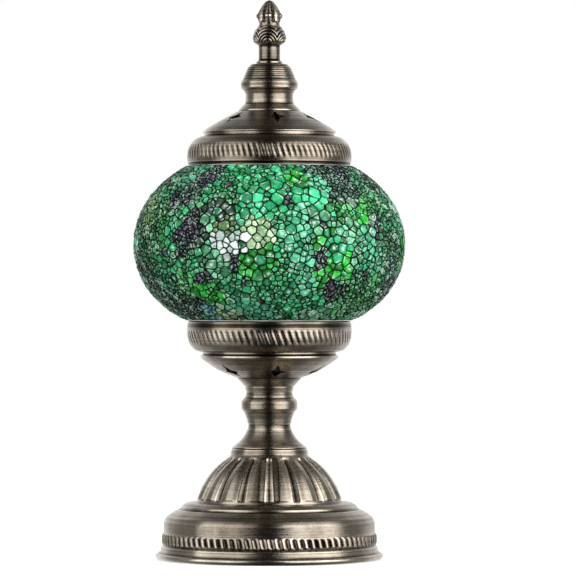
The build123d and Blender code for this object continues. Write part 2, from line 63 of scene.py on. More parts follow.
def top(node):
    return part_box(node)[1].z / MM


def reach(node):
    """The largest radius of a CAD node."""
    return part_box(node)[1].x / MM


def in_scene(name, data):
    """A new object in the scene."""
    made = bpy.data.objects.new(name, data)
    bpy.context.scene.collection.objects.link(made)
    return made


# Nodes


class Nodes:
    """A node tree, with short ways to add to it."""

    def __init__(self, tree):
        self.tree = tree

    def node(self, kind, **settings):
        made = self.tree.nodes.new("ShaderNode" + kind)
        for key, value in settings.items():
            setattr(made, key, value)
        return made

    def feed(self, socket, value):
        if isinstance(value, bpy.types.NodeSocket):
            self.tree.links.new(value, socket)
        else:
            socket.default_value = value

    def fed(self, kind, output, inputs, **settings):
        """One output of a new node, with some of the node's inputs fed."""
        made = self.node(kind, **settings)
        for key, value in inputs.items():
            self.feed(made.inputs[key], value)
        return made.outputs[output]

    def maths(self, operation, a, b=0.0):
        return self.fed("Math", 0, {0: a, 1: b}, operation=operation)

    def span(self, value, from_low, from_high, to_low=0.0, to_high=1.0, fade="LINEAR"):
        """The value, with one range of it stretched onto another."""
        ends = {"From Min": from_low, "From Max": from_high, "To Min": to_low, "To Max": to_high}
        return self.fed("MapRange", "Result", {"Value": value, **ends}, interpolation_type=fade)

    def mix(self, amount, a, b, blend="MIX"):
        a, b = (end if isinstance(end, bpy.types.NodeSocket) else (*end, 1) for end in (a, b))
        inputs = {"Factor": amount, 6: a, 7: b}
        return self.fed("Mix", 2, inputs, data_type="RGBA", blend_type=blend)


# Camera, floor and light


def make_camera():
    data = bpy.data.cameras.new("camera")
    data.sensor_width = 36
    data.lens = CAMERA_LENS
    data.clip_end = 20
    camera = in_scene("camera", data)
    camera.location = (CAMERA_RIGHT * MM, -CAMERA_DISTANCE * MM, CAMERA_HEIGHT * MM)
    camera.rotation_euler = (pi / 2, 0, 0)
    bpy.context.scene.camera = camera


def soft_light(name, azimuth, height, distance, width, tall, power, mirrored=True):
    """A rectangular studio light aimed at the middle of the lamp, that shows in the metal if mirrored."""
    data = bpy.data.lights.new(name, "AREA")
    data.shape = "RECTANGLE"
    data.size = width * MM
    data.size_y = tall * MM
    data.energy = power
    light = in_scene(name, data)
    turn = radians(azimuth)
    light.location = Vector((distance * sin(turn), -distance * cos(turn), height)) * MM
    aim = Vector((0, 0, 170)) * MM - light.location
    light.rotation_euler = aim.to_track_quat("-Z", "Y").to_euler()
    light.visible_camera = False
    light.visible_glossy = mirrored


def make_world():
    """White to the camera. To everything else a room that is dark in front and overhead, dim at the sides
    and has a white wall behind the lamp."""
    world = bpy.data.worlds.new("studio")
    bpy.context.scene.world = world
    world.use_nodes = True
    world.node_tree.nodes.clear()
    s = Nodes(world.node_tree)
    way = s.node("SeparateXYZ")
    s.feed(way.inputs[0], s.node("TexCoord").outputs["Generated"])
    aside = s.maths("ABSOLUTE", way.outputs["X"])
    sides = s.span(aside, SIDE_START, SIDE_END, SIDE_DARK, SIDE_LIGHT, "SMOOTHSTEP")
    wall = s.span(way.outputs["Y"], WALL_START, WALL_END, 0.0, WALL_LIGHT, "SMOOTHSTEP")
    room, white = s.node("Background"), s.node("Background")
    s.feed(room.inputs["Color"], s.mix(1.0, sides, wall, "ADD"))
    s.feed(white.inputs["Color"], (1, 1, 1, 1))
    pick, out = s.node("MixShader"), s.node("OutputWorld")
    s.feed(pick.inputs["Fac"], s.node("LightPath").outputs["Is Camera Ray"])
    s.feed(pick.inputs[1], room.outputs[0])
    s.feed(pick.inputs[2], white.outputs[0])
    s.feed(out.inputs["Surface"], pick.outputs[0])


FLOOR_R = 900


def make_floor(material):
    mesh = bpy.data.meshes.new("floor")
    turns = np.arange(96) * 2 * pi / 96
    rim = [(FLOOR_R * MM * cos(turn), FLOOR_R * MM * sin(turn), 0) for turn in turns]
    mesh.from_pydata(rim, [], [range(96)])
    floor = in_scene("floor", mesh)
    floor.data.materials.append(material)
    floor.visible_glossy = False
    floor.visible_diffuse = False


# Materials

NOISE_LOW, NOISE_HIGH = 0.3, 0.7


class Shader(Nodes):
    """A node material around one Principled BSDF."""

    def __init__(self, name, **fixed):
        self.material = bpy.data.materials.new(name)
        self.material.use_nodes = True
        super().__init__(self.material.node_tree)
        self.surface = self.tree.nodes["Principled BSDF"]
        for key, value in fixed.items():
            self.surface.inputs[key.replace("_", " ").title().replace("Ior", "IOR")].default_value = value

    def place(self, scale=(1, 1, 1)):
        """Object coordinates in millimetres, stretched by scale."""
        where = self.node("TexCoord").outputs["Object"]
        return self.fed("Mapping", "Vector", {"Vector": where, "Scale": [s / MM for s in scale]})

    def attribute(self, name, output="Fac"):
        return self.node("Attribute", attribute_name=name).outputs[output]

    def noise(self, where, scale, detail=3.0, roughness=0.5):
        inputs = {"Vector": where, "Scale": scale, "Detail": detail, "Roughness": roughness}
        return self.fed("TexNoise", "Fac", inputs)

    def rings(self, along, scale, detail=4.0):
        """Noise that changes only along a turned profile, as a lathe tool or a brush leaves it."""
        inputs = {"W": along, "Scale": scale, "Detail": detail, "Roughness": 0.65}
        return self.fed("TexNoise", "Fac", inputs, noise_dimensions="1D")

    def cracks(self, where, scale):
        """The distance to the nearest border between cells."""
        inputs = {"Vector": where, "Scale": scale}
        return self.fed("TexVoronoi", "Distance", inputs, feature="DISTANCE_TO_EDGE")

    def ramp(self, value, *stops):
        made = self.node("ValToRGB")
        self.feed(made.inputs["Fac"], value)
        points = made.color_ramp.elements
        while len(points) < len(stops):
            points.new(0.5)
        for point, (at, colour) in zip(points, stops):
            point.position = at
            point.color = (*colour, 1)
        return made.outputs["Color"]

    def bump(self, height, distance, strength=1.0, after=None):
        """Adds a bump whose full height is distance millimetres."""
        inputs = {"Strength": strength, "Distance": distance * MM, "Height": height}
        if after is not None:
            inputs["Normal"] = after
        normal = self.fed("Bump", "Normal", inputs)
        self.feed(self.surface.inputs["Normal"], normal)
        return normal

    def spread(self, cloud, to_low=0.0, to_high=1.0):
        """A noise, with the range that most of it lies in stretched onto another."""
        return self.span(cloud, NOISE_LOW, NOISE_HIGH, to_low, to_high)

    def paint(self, colour):
        self.feed(self.surface.inputs["Base Color"], colour)

    def mottle(self, cloud, dark, pale):
        self.paint(self.mix(self.spread(cloud), dark, pale))

    def rough(self, value):
        self.feed(self.surface.inputs["Roughness"], value)


def aged_bronze():
    """Dark metal with patina, turned and brushed, bright on its ridges and nearly black in its grooves.
    In a few bands of the cup and cap its relief also carries painted shade and painted light.
    """
    s = Shader("aged_bronze", metallic=1.0, anisotropic=0.8, anisotropic_rotation=0.25)
    relief = s.attribute("relief")
    along = s.attribute("along")
    place = s.place()
    blotch = s.noise(place, 0.055, 4, 0.6)
    grain = s.noise(place, 0.9, 3, 0.6)
    fine = s.rings(along, 4.5)
    broad = s.rings(along, 0.55)
    # Patina and wear, with the painted shade and painted light that the relief bands carry on the cup and
    # cap.
    wear_and_painted_light = s.maths("ADD", relief, s.spread(blotch, -0.16, 0.16))
    wear_and_painted_light = s.maths("ADD", wear_and_painted_light, s.spread(broad, -0.13, 0.13))
    wear_and_painted_light = s.maths("ADD", wear_and_painted_light, s.spread(fine, -0.12, 0.12))
    colour = s.ramp(
        wear_and_painted_light,
        (0.0, (0.008, 0.006, 0.004)), (0.26, (0.050, 0.041, 0.030)), (0.5, (0.245, 0.208, 0.163)),
        (0.78, (0.430, 0.380, 0.315)), (1.0, (0.720, 0.655, 0.570)),
    )
    warm = s.mix(s.span(grain, 0.35, 0.7, 0.0, 0.35), colour, (0.30, 0.235, 0.155), "MULTIPLY")
    s.paint(s.mix(0.35, colour, warm))
    s.rough(s.maths("ADD", s.span(wear_and_painted_light, 0.0, 1.0, 0.38, 0.18), s.spread(grain, -0.03, 0.03)))
    tangent = s.node("Tangent", direction_type="RADIAL", axis="Z")
    s.feed(s.surface.inputs["Tangent"], tangent.outputs[0])
    lines = s.bump(s.maths("ADD", fine, s.maths("MULTIPLY", broad, 1.5)), 0.05, 0.8)
    s.bump(grain, 0.02, 0.5, lines)
    return s.material


def plated_steel():
    s = Shader("plated_steel", metallic=1.0)
    place = s.place()
    stain = s.noise(place, 0.12, 4)
    grain = s.noise(s.place((0.4, 0.4, 6)), 0.8, 3)
    s.paint(s.ramp(stain, (0.3, (0.36, 0.36, 0.34)), (0.7, (0.58, 0.58, 0.55))))
    s.rough(s.spread(grain, 0.26, 0.44))
    s.bump(grain, 0.03, 0.7)
    return s.material


def bright_brass():
    s = Shader("bright_brass", metallic=1.0)
    stain = s.noise(s.place(), 0.3, 4)
    grain = s.noise(s.place((0.5, 0.5, 5)), 1.2, 3)
    s.paint(s.ramp(stain, (0.3, (0.55, 0.36, 0.12)), (0.65, (0.83, 0.62, 0.28))))
    s.rough(s.spread(grain, 0.2, 0.38))
    s.bump(grain, 0.02, 0.6)
    return s.material


def cast_iron():
    s = Shader("cast_iron", metallic=0.4)
    lumps = s.noise(s.place(), 0.8, 5, 0.7)
    s.paint(s.ramp(lumps, (0.3, (0.018, 0.018, 0.019)), (0.7, (0.07, 0.068, 0.066))))
    s.rough(s.spread(lumps, 0.6, 0.85))
    s.bump(lumps, 0.35, 0.8)
    return s.material


def wool_felt():
    s = Shader("wool_felt", sheen_weight=0.4, sheen_roughness=0.5)
    hairs = s.noise(s.place((1, 1, 3)), 1.6, 6, 0.75)
    clumps = s.noise(s.place(), 0.16, 3)
    s.mottle(clumps, (0.012, 0.030, 0.018), (0.030, 0.062, 0.038))
    s.rough(s.spread(hairs, 0.88, 1.0))
    s.bump(hairs, 0.35, 0.9)
    return s.material


def moulded(name, dark, pale, rough_low, rough_high):
    """A moulded plastic or rubber with a faint texture."""
    s = Shader(name, specular_ior_level=0.45)
    cloud = s.noise(s.place(), 0.25, 3)
    skin = s.noise(s.place(), 3.0, 3, 0.6)
    s.mottle(cloud, dark, pale)
    s.rough(s.spread(skin, rough_low, rough_high))
    s.bump(skin, 0.04, 0.6)
    return s.material


def blown_glass(name, tint, alpha):
    """Thin clear glass, seen through by its alpha."""
    s = Shader(name, roughness=0.06, ior=1.5, alpha=alpha, coat_weight=0.3)
    sweep = s.noise(s.place((1, 1, 0.4)), 0.06, 2)
    s.mottle(sweep, tint, (0.95, 0.98, 0.97))
    s.bump(sweep, 0.3, 0.25)
    return s.material


def black_grout():
    s = Shader("black_grout", specular_ior_level=0.03)
    sand = s.noise(s.place(), 2.4, 5, 0.7)
    cloud = s.noise(s.place(), 0.12, 3)
    s.mottle(cloud, (0.004, 0.005, 0.004), (0.012, 0.014, 0.012))
    s.rough(s.spread(sand, 0.55, 0.85))
    s.bump(sand, 0.25, 0.8)
    return s.material


def mosaic_chip():
    """Glossy glass chips with clouded tints, dark at their edges where they meet the grout, with painted
    shade on their bevels and a painted highlight on their crowns, that catch the light here and there.
    """
    s = Shader("mosaic_chip", ior=1.5)
    tint = s.attribute("tint", "Color")
    edge = s.attribute("relief")
    place = s.place()
    streak = s.noise(s.place((1, 1, 1.8)), 0.55, 5, 0.65)
    cracks = s.cracks(place, 0.8)
    grains = s.noise(place, 2.2, 4, 0.7)
    # The relief marks give painted shade on the bevel and a painted highlight on the crown; the streaks
    # cloud the glass.
    depth = s.maths("ADD", edge, s.spread(streak, -0.45, 0.45))
    shade = s.ramp(
        depth,
        (0.0, (0.05, 0.07, 0.06)), (0.35, (0.42, 0.50, 0.44)), (0.70, (1.0, 1.0, 1.0)),
        (1.0, (1.12, 1.12, 1.12)),
    )
    body = s.mix(1.0, tint, shade, "MULTIPLY")
    # Painted highlight: the crowns lightened towards pale mint.
    pale = s.mix(0.15, tint, (0.60, 0.98, 0.75))
    lit = s.mix(s.span(s.maths("ADD", depth, grains), 1.25, 1.65, 0.0, 0.7), body, pale)
    s.paint(s.mix(s.span(cracks, 0.0, 0.07, 0.06, 0.0), lit, (0.45, 0.80, 0.55)))
    s.rough(s.spread(grains, 0.12, 0.28))
    s.feed(s.surface.inputs["Specular IOR Level"], s.span(streak, 0.56, 0.70, 0.03, 0.7))
    wave = s.bump(streak, 0.7, 0.8)
    s.bump(s.span(cracks, 0.0, 0.12), 0.10, 0.7, wave)
    return s.material


def pale_floor():
    """A white paper floor, backlit so that it fades into the white studio away from the lamp."""
    s = Shader("pale_floor", specular_ior_level=0.1, emission_color=(1, 1, 1, 1))
    cloud = s.noise(s.place(), 0.01, 3)
    s.mottle(cloud, (0.90, 0.90, 0.90), (0.93, 0.93, 0.93))
    s.rough(0.8)
    away = s.fed("VectorMath", "Value", {0: s.place()}, operation="LENGTH")
    s.feed(s.surface.inputs["Emission Strength"], s.span(away, 90, 420, 0.58, 1.0))
    return s.material


# Outlines and turned pieces


def arc_points(centre, radius, start, end, step=9.0):
    """Points on an arc between two angles in degrees."""
    count = max(2, int(ceil(abs(end - start) / step)) + 1)
    turns = np.radians(np.linspace(start, end, count))
    return [(centre[0] + radius * cos(t), centre[1] + radius * sin(t)) for t in turns]


def above(base, points):
    """Points whose heights were measured from base."""
    return [(r, base + z, *fillet) for r, z, *fillet in points]


def rounded(corners, closed=True, step=None, guard=0.8, turn_step=14.0):
    """An outline of (radius, height, fillet) corners as (radius, height, relief) points.

    Relief is 0.5 on a plain run, more on a convex corner and less in a concave one. Points beside each
    corner keep its relief from spreading along the run.
    """
    corners = [(*corner, 0.0)[:3] for corner in corners]
    count = len(corners)
    points = []
    for i, (r, z, fillet) in enumerate(corners):
        if not closed and i in (0, count - 1):
            points.append((r, z, 0.5))
            continue
        before, after = corners[i - 1], corners[(i + 1) % count]
        back = np.array((before[0] - r, before[1] - z))
        ahead = np.array((after[0] - r, after[1] - z))
        long_back, long_ahead = np.hypot(*back), np.hypot(*ahead)
        back, ahead = back / long_back, ahead / long_ahead
        turn = pi - acos(max(-1.0, min(1.0, float(back @ ahead))))
        if turn < radians(2):
            points.append((r, z, 0.5))
            continue
        convex = back[0] * ahead[1] - back[1] * ahead[0] < 0
        fillet = max(fillet, 0.12)
        cut = min(fillet * tan(turn / 2), 0.47 * min(long_back, long_ahead))
        fillet = cut / tan(turn / 2)
        mark = min(1.0, degrees(turn) / 70) * min(1.0, 0.75 / (fillet + 0.25) ** 0.7)
        relief = 0.5 + (0.36 if convex else -0.5) * mark
        middle = (back + ahead) / np.hypot(*(back + ahead))
        centre = np.array((r, z)) + middle * fillet / cos(turn / 2)
        start, end = np.array((r, z)) + back * cut, np.array((r, z)) + ahead * cut
        first = atan2(*(start - centre)[::-1])
        swing = atan2(*(end - centre)[::-1]) - first
        swing = (swing + pi) % (2 * pi) - pi
        chords = max(2, int(ceil(degrees(turn) / turn_step)))
        if long_back > 2.4 * (cut + guard):
            points.append((*(start + back * guard), 0.5))
        for k in range(chords + 1):
            angle = first + swing * k / chords
            points.append((centre[0] + fillet * cos(angle), centre[1] + fillet * sin(angle), relief))
        if long_ahead > 2.4 * (cut + guard):
            points.append((*(end + ahead * guard), 0.5))
    if step:
        points = divided(points, step, closed)
    return points


def area_of(points):
    """The area inside a closed line: under zero where it runs clockwise."""
    return 0.5 * sum(a[0] * b[1] - b[0] * a[1] for a, b in zip(points, points[1:] + points[:1]))


def divided(points, step, closed):
    """The same outline with no run longer than step."""
    out = []
    count = len(points) if closed else len(points) - 1
    for i in range(count):
        a, b = np.array(points[i]), np.array(points[(i + 1) % len(points)])
        parts = max(1, int(ceil(np.hypot(*(b - a)[:2]) / step)))
        out += [tuple(a + (b - a) * k / parts) for k in range(parts)]
    if not closed:
        out.append(tuple(points[-1]))
    return out


CREASE = 32


def new_piece(name, body, material, vertices, faces, replaces=(), attributes=(), crease=CREASE):
    """A mesh piece in millimetres that rides on a CAD body."""
    mesh = bpy.data.meshes.new(name)
    mesh.from_pydata((np.asarray(vertices) * MM).tolist(), [], faces)
    for key, values in attributes:
        kind, field = ("FLOAT", "value") if np.ndim(values) == 1 else ("FLOAT_COLOR", "color")
        layer = mesh.attributes.new(key, kind, "POINT")
        layer.data.foreach_set(field, np.asarray(values, np.float32).ravel())
    tidy = bmesh.new()
    tidy.from_mesh(mesh)
    bmesh.ops.remove_doubles(tidy, verts=tidy.verts, dist=1e-6)
    bmesh.ops.dissolve_degenerate(tidy, dist=1e-7, edges=tidy.edges)
    tidy.to_mesh(mesh)
    tidy.free()
    mesh.polygons.foreach_set("use_smooth", [True] * len(mesh.polygons))
    mesh.set_sharp_from_angle(angle=radians(crease))
    mesh.materials.append(material)
    piece = in_scene(name, mesh)
    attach(piece, body)
    if replaces:
        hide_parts(*replaces)
    return piece


def grid_faces(rows, columns, wrap_rows):
    faces = []
    for i in range(rows if wrap_rows else rows - 1):
        a, b = i * columns, (i + 1) % rows * columns
        for j in range(columns):
            k = (j + 1) % columns
            faces.append((a + j, a + k, b + k, b + j))
    return faces


def lathe(
    name, body, outline, replaces=(), segments=192, closed=True, shape=None, material=None, crease=CREASE,
):
    """A turned piece. The outline's outer side runs upwards. shape(r, z, azimuth) gives how far each
    point stands out along the outline's normal, and how much relief it adds."""
    points = np.array([p[:2] for p in outline], float)
    relief = np.array([p[2] for p in outline], float)
    if closed:
        ahead, behind = np.roll(points, -1, 0), np.roll(points, 1, 0)
    else:
        ahead = np.vstack([points[1:], points[-1:]])
        behind = np.vstack([points[:1], points[:-1]])
    tangent = ahead - behind
    tangent /= np.maximum(np.hypot(tangent[:, 0], tangent[:, 1]), 1e-9)[:, None]
    normal = np.column_stack([tangent[:, 1], -tangent[:, 0]])
    along = np.concatenate([[0], np.cumsum(np.hypot(*np.diff(points, axis=0).T))])
    azimuth = np.arange(segments) * 2 * pi / segments
    stand = np.zeros((len(points), segments))
    relief = np.repeat(relief[:, None], segments, 1)
    if shape:
        stand, extra = shape(points[:, :1], points[:, 1:], azimuth[None, :])
        stand = np.broadcast_to(stand, relief.shape)
        relief = relief + extra
    r = points[:, :1] + normal[:, :1] * stand
    z = points[:, 1:] + normal[:, 1:] * stand
    vertices = np.stack([r * np.sin(azimuth), -r * np.cos(azimuth), z + 0 * azimuth], -1).reshape(-1, 3)
    attributes = [
        ("relief", np.clip(relief, 0, 1).ravel()),
        ("along", np.repeat(along[:, None], segments, 1).ravel()),
    ]
    faces = grid_faces(len(points), segments, closed)
    return new_piece(name, body, material or METAL, vertices, faces, replaces, attributes, crease)


def smooth(x):
    x = np.clip(x, 0, 1)
    return x * x * (3 - 2 * x)


def window(z, start, end, fade):
    """1 between two heights, fading to 0 at both."""
    return smooth((z - start) / fade) * smooth((end - z) / fade)


def rope(count, start, end, lean, depth, shade):
    """Slanting strokes pressed into a band: each stroke leans to the right as it goes down."""
    middle = (start + end) / 2

    def shape(r, z, azimuth):
        phase = count * (azimuth + lean * (z - middle) / np.maximum(r, 1))
        stroke = (0.5 + 0.5 * np.cos(phase)) ** 2
        strength = window(z, start, end, (end - start) * 0.28)
        return -depth * stroke * strength, shade * (0.34 - stroke) * strength

    return shape


# Base

METAL = aged_bronze()
STEEL = plated_steel()
BRASS = bright_brass()

DRUM_R, DRUM_WALL = 66.4, 1.2
WORN = 0.08
BEADS, BEAD_BOTTOM, BEAD_TOP, BEAD_DEPTH = 88, 9.0, 17.0, 1.2
STEP_R = 55.6


def make_base():
    drum_top = top("base_shell")
    wall = DRUM_R - DRUM_WALL
    outline = [(wall, 2.0), (DRUM_R, 2.0), (DRUM_R, 17.4, 0.4), (DRUM_R - 0.1, 23.4, 3)]
    outline += [(DRUM_R - 1.7, 26.6, 3), (DRUM_R - 5.4, 29.4, 3)]
    outline += above(drum_top, [
        (STEP_R + 1.9, -5.9, 0.5), (STEP_R + 0.7, -6.0, 0.2), (STEP_R, -5.3, 0.3),
        (STEP_R - 0.3, -3.8, 1.2), (STEP_R - 3.4, -1.7, 2.5), (46.8, -1.0, 0.6), (30, -1.0),
        (30, -2.2), (STEP_R - 7, -2.6, 2), (STEP_R - 1.8, -5.0, 1), (STEP_R - 1.2, -7.2, 0.4),
    ])
    outline += [(DRUM_R - 6.8, 28.0, 2), (wall - 0.8, 23.0, 2)]
    outline = rounded(outline, turn_step=10)
    lathe("base_drum", "root", burnished(outline), ["base_shell"], 288)
    make_bead_ring()
    make_foot_rim()


def burnished(outline):
    """The outline with more of its patina rubbed off, as on the base, which hands touch most."""
    return [(r, z, relief + WORN) for r, z, relief in outline]


def make_bead_ring():
    """The gadrooned ring: slanting round beads between two fine fillets, with small points below."""
    outline = above(BEAD_BOTTOM, [
        (DRUM_R - 0.8, -1.2), (DRUM_R + 0.5, -1.2, 0.3), (DRUM_R + 0.3, 0, 0.2),
        (DRUM_R + 1.2, 1.6, 1.2),
    ])
    outline += above(BEAD_TOP, [(DRUM_R + 1.1, -1.8, 1.4), (DRUM_R + 0.2, 0, 0.4), (DRUM_R - 0.8, 0.2)])
    outline = rounded(outline, step=0.5)

    def shape(r, z, azimuth):
        phase = BEADS * (azimuth + 0.22 * (z - BEAD_BOTTOM) / DRUM_R)
        valley = 1 - np.abs(np.cos(phase / 2)) ** 0.9
        body = window(z, BEAD_BOTTOM + 0.2, BEAD_TOP - 0.2, 1.6)
        outer = r > DRUM_R
        points = 0.5 + 0.5 * np.cos(BEADS * azimuth)
        skirt = window(z, BEAD_BOTTOM - 1.3, BEAD_BOTTOM + 0.1, 0.5)
        stand = outer * (-BEAD_DEPTH * valley * body + 0.35 * points * skirt)
        return stand, outer * ((0.28 - 0.95 * valley) * body + (0.3 * points - 0.25) * skirt)

    lathe("base_bead_ring", "root", outline, ["base_shell"], BEADS * 10, shape=shape)


def make_foot_rim():
    """The plain band under the beads and the rolled lip that it stands on."""
    outline = rounded([
        (DRUM_R - 1.8, 2.2), (68.4, 0.5, 0.3), (70.5, 0.6, 0.8), (71.5, 2.1, 1.0), (71.2, 3.4, 0.8),
        (69.8, 4.2, 0.3), (68.6, 4.3, 0.2), (68.4, 5.0, 0.3), (67.8, 8.2, 0.5), (66.9, 8.9, 0.2),
        (DRUM_R - 0.6, 8.9), (DRUM_R - 0.6, 3.4),
    ])
    lathe("base_foot_rim", "root", burnished(outline), ["base_shell"], 256)


FLUTES, FLUTE_DEPTH = 16, 1.7


def make_dome():
    """The fluted dome. Its flutes are sharp valleys that narrow upwards and stop at a plain band."""
    foot, peak = low("fluted_dome"), top("fluted_dome")
    curve = [
        (45.7, -1.1), (44.9, 1.2), (44.0, 3.4), (42.5, 6.6), (40.5, 10.2), (37.9, 14.2), (34.2, 18.6),
        (29.6, 22.8), (26.0, 25.6), (24.9, 27.4), (24.4, 28.0),
    ]
    outer = curve_through(curve, 46)
    outside = [(r, foot + h, 0.5) for r, h in outer]
    outside[0] = (outside[0][0], outside[0][1], 0.2)
    inner = [(20.0, peak, 0.4), (20.0, peak - 3, 0.4), (36, foot + 10, 0.4), (41, foot, 0.3)]

    def shape(r, z, azimuth):
        rise = np.clip((z - foot) / (peak - foot), 0, 1)
        half_width = 2.7 - 1.1 * rise
        depth = FLUTE_DEPTH * (1 - 0.45 * rise)
        turn = (azimuth * FLUTES / (2 * pi) + 0.5) % 1 - 0.5
        away = np.abs(turn) * 2 * pi / FLUTES * r
        vee = np.clip(1 - away / half_width, 0, 1) ** 0.92
        ends = smooth((z - foot - 0.2) / 0.9) * smooth((peak - 0.9 - z) / 1.2)
        outer_side = r > 21
        shoulder = np.exp(-(((away - half_width) / 0.6) ** 2))
        crown = 0.9 * smooth((away - half_width) / 4.5)
        stand = outer_side * ends * (crown - depth * vee)
        relief = outer_side * ends * (0.34 * shoulder - 0.50 * vee**3)
        return stand, relief

    outline = burnished(outside + inner)
    lathe("fluted_dome_shell", "root", outline, ["fluted_dome"], FLUTES * 36, shape=shape)


def curve_through(points, count):
    """Evenly spaced points on a smooth curve through a few points."""
    points = np.asarray(points, float)
    chord = np.concatenate([[0], np.cumsum(np.hypot(*np.diff(points, axis=0).T))])
    slope = np.gradient(points, chord, axis=0)
    out = []
    for t in np.linspace(0, chord[-1], count):
        i = min(int(np.searchsorted(chord, t, side="right")) - 1, len(points) - 2)
        h = chord[i + 1] - chord[i]
        u = (t - chord[i]) / h
        a = (1 + 2 * u) * (1 - u) ** 2 * points[i] + u * (1 - u) ** 2 * h * slope[i]
        b = u * u * (3 - 2 * u) * points[i + 1] + u * u * (u - 1) * h * slope[i + 1]
        out.append(a + b)
    return out


# Column


def make_column():
    seat, waist, cup = low("stem_trumpet"), low("stem_spool"), top("stem_spool")
    flare = above(seat, [(22.0, 5.8), (18.4, 8.8), (15.6, 12.4), (14.0, 15.4), (13.1, 18.2)])
    flare = curve_through(flare, 16)
    collar = above(seat, [
        (20.0, 0), (24.1, 0, 0.2), (24.3, 1.0, 0.6), (23.6, 4.0, 0.5), (23.0, 4.3, 0.25),
        (23.1, 5.2, 0.4), (22.0, 5.9, 0.2), (21.6, 5.9),
    ])
    collar = rounded(collar, closed=False)
    neck = [(*p, 0.5) for p in flare[1:-1]] + [(13.1, waist - 1.2, 0.5), (13.2, waist - 0.5, 0.25)]
    bore = [(13.0, waist, 0.1), (9.0, waist, 0.3), (9.0, waist - 2, 0.3), (12.0, waist - 5.1, 0.3)]
    bore.append((19.5, seat + 4.3, 0.3))
    lathe("stem_trumpet_turned", "root", collar + neck + bore, ["stem_trumpet"], 160)
    spool = above(waist, [
        (9.0, 0), (13.4, 0, 0.3), (14.1, 3.4, 3), (15.6, 7.4, 0.2), (16.1, 7.9, 0.3),
        (17.5, 9.8, 1.4), (17.5, 14.2, 1.4), (16.4, 15.9, 0.3), (15.4, 16.4, 0.2), (14.2, 19.6, 2.5),
    ])
    spool += above(cup, [(15.4, -0.4, 0.3), (14.8, 0, 0.1), (9.0, 0)])
    spool = rounded(spool, turn_step=10)
    lathe("stem_spool_turned", "root", spool, ["stem_spool"], 160)


# Pierced cup and cap

STARS, STAR_AZIMUTH, STAR_STEPS, STAR_HOLLOW = 6, 9.0, 7, 0.36
# How far out the stars stand, and half their length and width.
CUP_STARS, CAP_STARS = (30.0, 7.6, 5.6), (27.6, 6.4, 5.8)
# Between which heights the strokes are pressed, and how many there are.
CUP_BAND, CUP_STROKES = (133.8, 144.8), 74
CAP_BAND, CAP_STROKES = (250.0, 260.4), 84


def pierce(piece, radius, long, wide, low_z, high_z):
    """Cuts a ring of four-pointed stars through a piece."""
    outline = []
    tips = [(long, 0), (0, wide), (-long, 0), (0, -wide)]
    for i, tip in enumerate(tips):
        after = tips[(i + 1) % 4]
        for k in range(STAR_STEPS):
            t = k / STAR_STEPS
            hollow = 1 - STAR_HOLLOW * sin(pi * t)
            outline.append([(a * (1 - t) + b * t) * hollow for a, b in zip(tip, after)])
    vertices, faces = [], []
    for i in range(STARS):
        turn = radians(STAR_AZIMUTH + i * 360 / STARS)
        out_x, out_y = sin(turn), -cos(turn)
        base = len(vertices)
        for z in (low_z, high_z):
            for u, v in outline:
                x = (radius + u) * out_x - v * out_y
                y = (radius + u) * out_y + v * out_x
                vertices.append((x * MM, y * MM, z * MM))
        count = len(outline)
        faces.append([base + k for k in reversed(range(count))])
        faces.append([base + count + k for k in range(count)])
        for k in range(count):
            after = (k + 1) % count
            faces.append([base + k, base + after, base + count + after, base + count + k])
    mesh = bpy.data.meshes.new("stars")
    mesh.from_pydata(vertices, [], faces)
    cutter = in_scene("stars", mesh)
    cut = piece.modifiers.new("pierce", "BOOLEAN")
    cut.operation = "DIFFERENCE"
    cut.solver = "EXACT"
    cut.object = cutter
    bpy.context.view_layer.update()
    graph = bpy.context.evaluated_depsgraph_get()
    pierced = bpy.data.meshes.new_from_object(piece.evaluated_get(graph))
    piece.modifiers.clear()
    piece.data = pierced
    piece.data.set_sharp_from_angle(angle=radians(CREASE))
    bpy.data.objects.remove(cutter)


def make_cup():
    foot, rim = low("cup_shell"), top("cup_shell")
    bowl = above(foot, [
        (6.0, 0), (15.5, 0, 0.4), (18.4, 3.0, 2), (19.6, 4.4, 0.3), (20.2, 5.3, 0.3), (26.0, 7.3, 10),
        (32.0, 10.0, 14), (37.6, 13.5, 14), (42.2, 16.9, 3), (43.2, 18.0, 0.4), (43.2, 19.1, 0.4),
        (41.8, 19.7, 0.3), (41.6, 21.6, 0.2), (40.2, 21.6, 0.2), (40.5, 18.2, 1), (36.8, 14.4, 14),
        (31.2, 11.0, 14), (25.4, 8.4, 10), (18.8, 6.0, 0.5), (14.8, 1.2, 0.4), (6.0, 1.2),
    ])
    bowl = rounded(bowl, step=1.3, turn_step=8)
    piece = lathe("cup_bowl", "root", bowl, ["cup_shell"], 224)
    pierce(piece, *CUP_STARS, foot + 3, foot + 20)
    wall = above(foot, [
        (41.2, 21.2), (42.4, 21.3, 0.3), (43.4, 21.5, 0.3), (46.6, 22.4, 4), (49.9, 25.8, 5),
        (51.3, 30.0, 8), (51.7, 35.0, 8),
    ])
    wall += above(rim, [(51.3, -1.6, 0.8), (50.9, 0, 0.5), (50.2, 0, 0.3)])
    wall += above(foot, [
        (50.4, 35.0, 8), (50.0, 30.6, 8), (48.6, 27.1, 5), (45.6, 24.3, 4), (41.2, 22.6, 0.3),
    ])
    wall = rounded(wall, step=0.76, turn_step=9)
    start, end = CUP_BAND
    strokes = rope(CUP_STROKES, start, end, 0.36, 0.45, 0.5)
    # Painted light over the stroke band, and painted shade on the rim top beside the globe.
    strokes = painted_bands(strokes, (start - 0.4, end - 0.2, 0.14), (end + 0.4, rim + 1, -0.26))
    shape = outer_only(strokes, 48.9)
    lathe("cup_rim_band", "root", wall, ["cup_shell"], CUP_STROKES * 10, shape=shape)


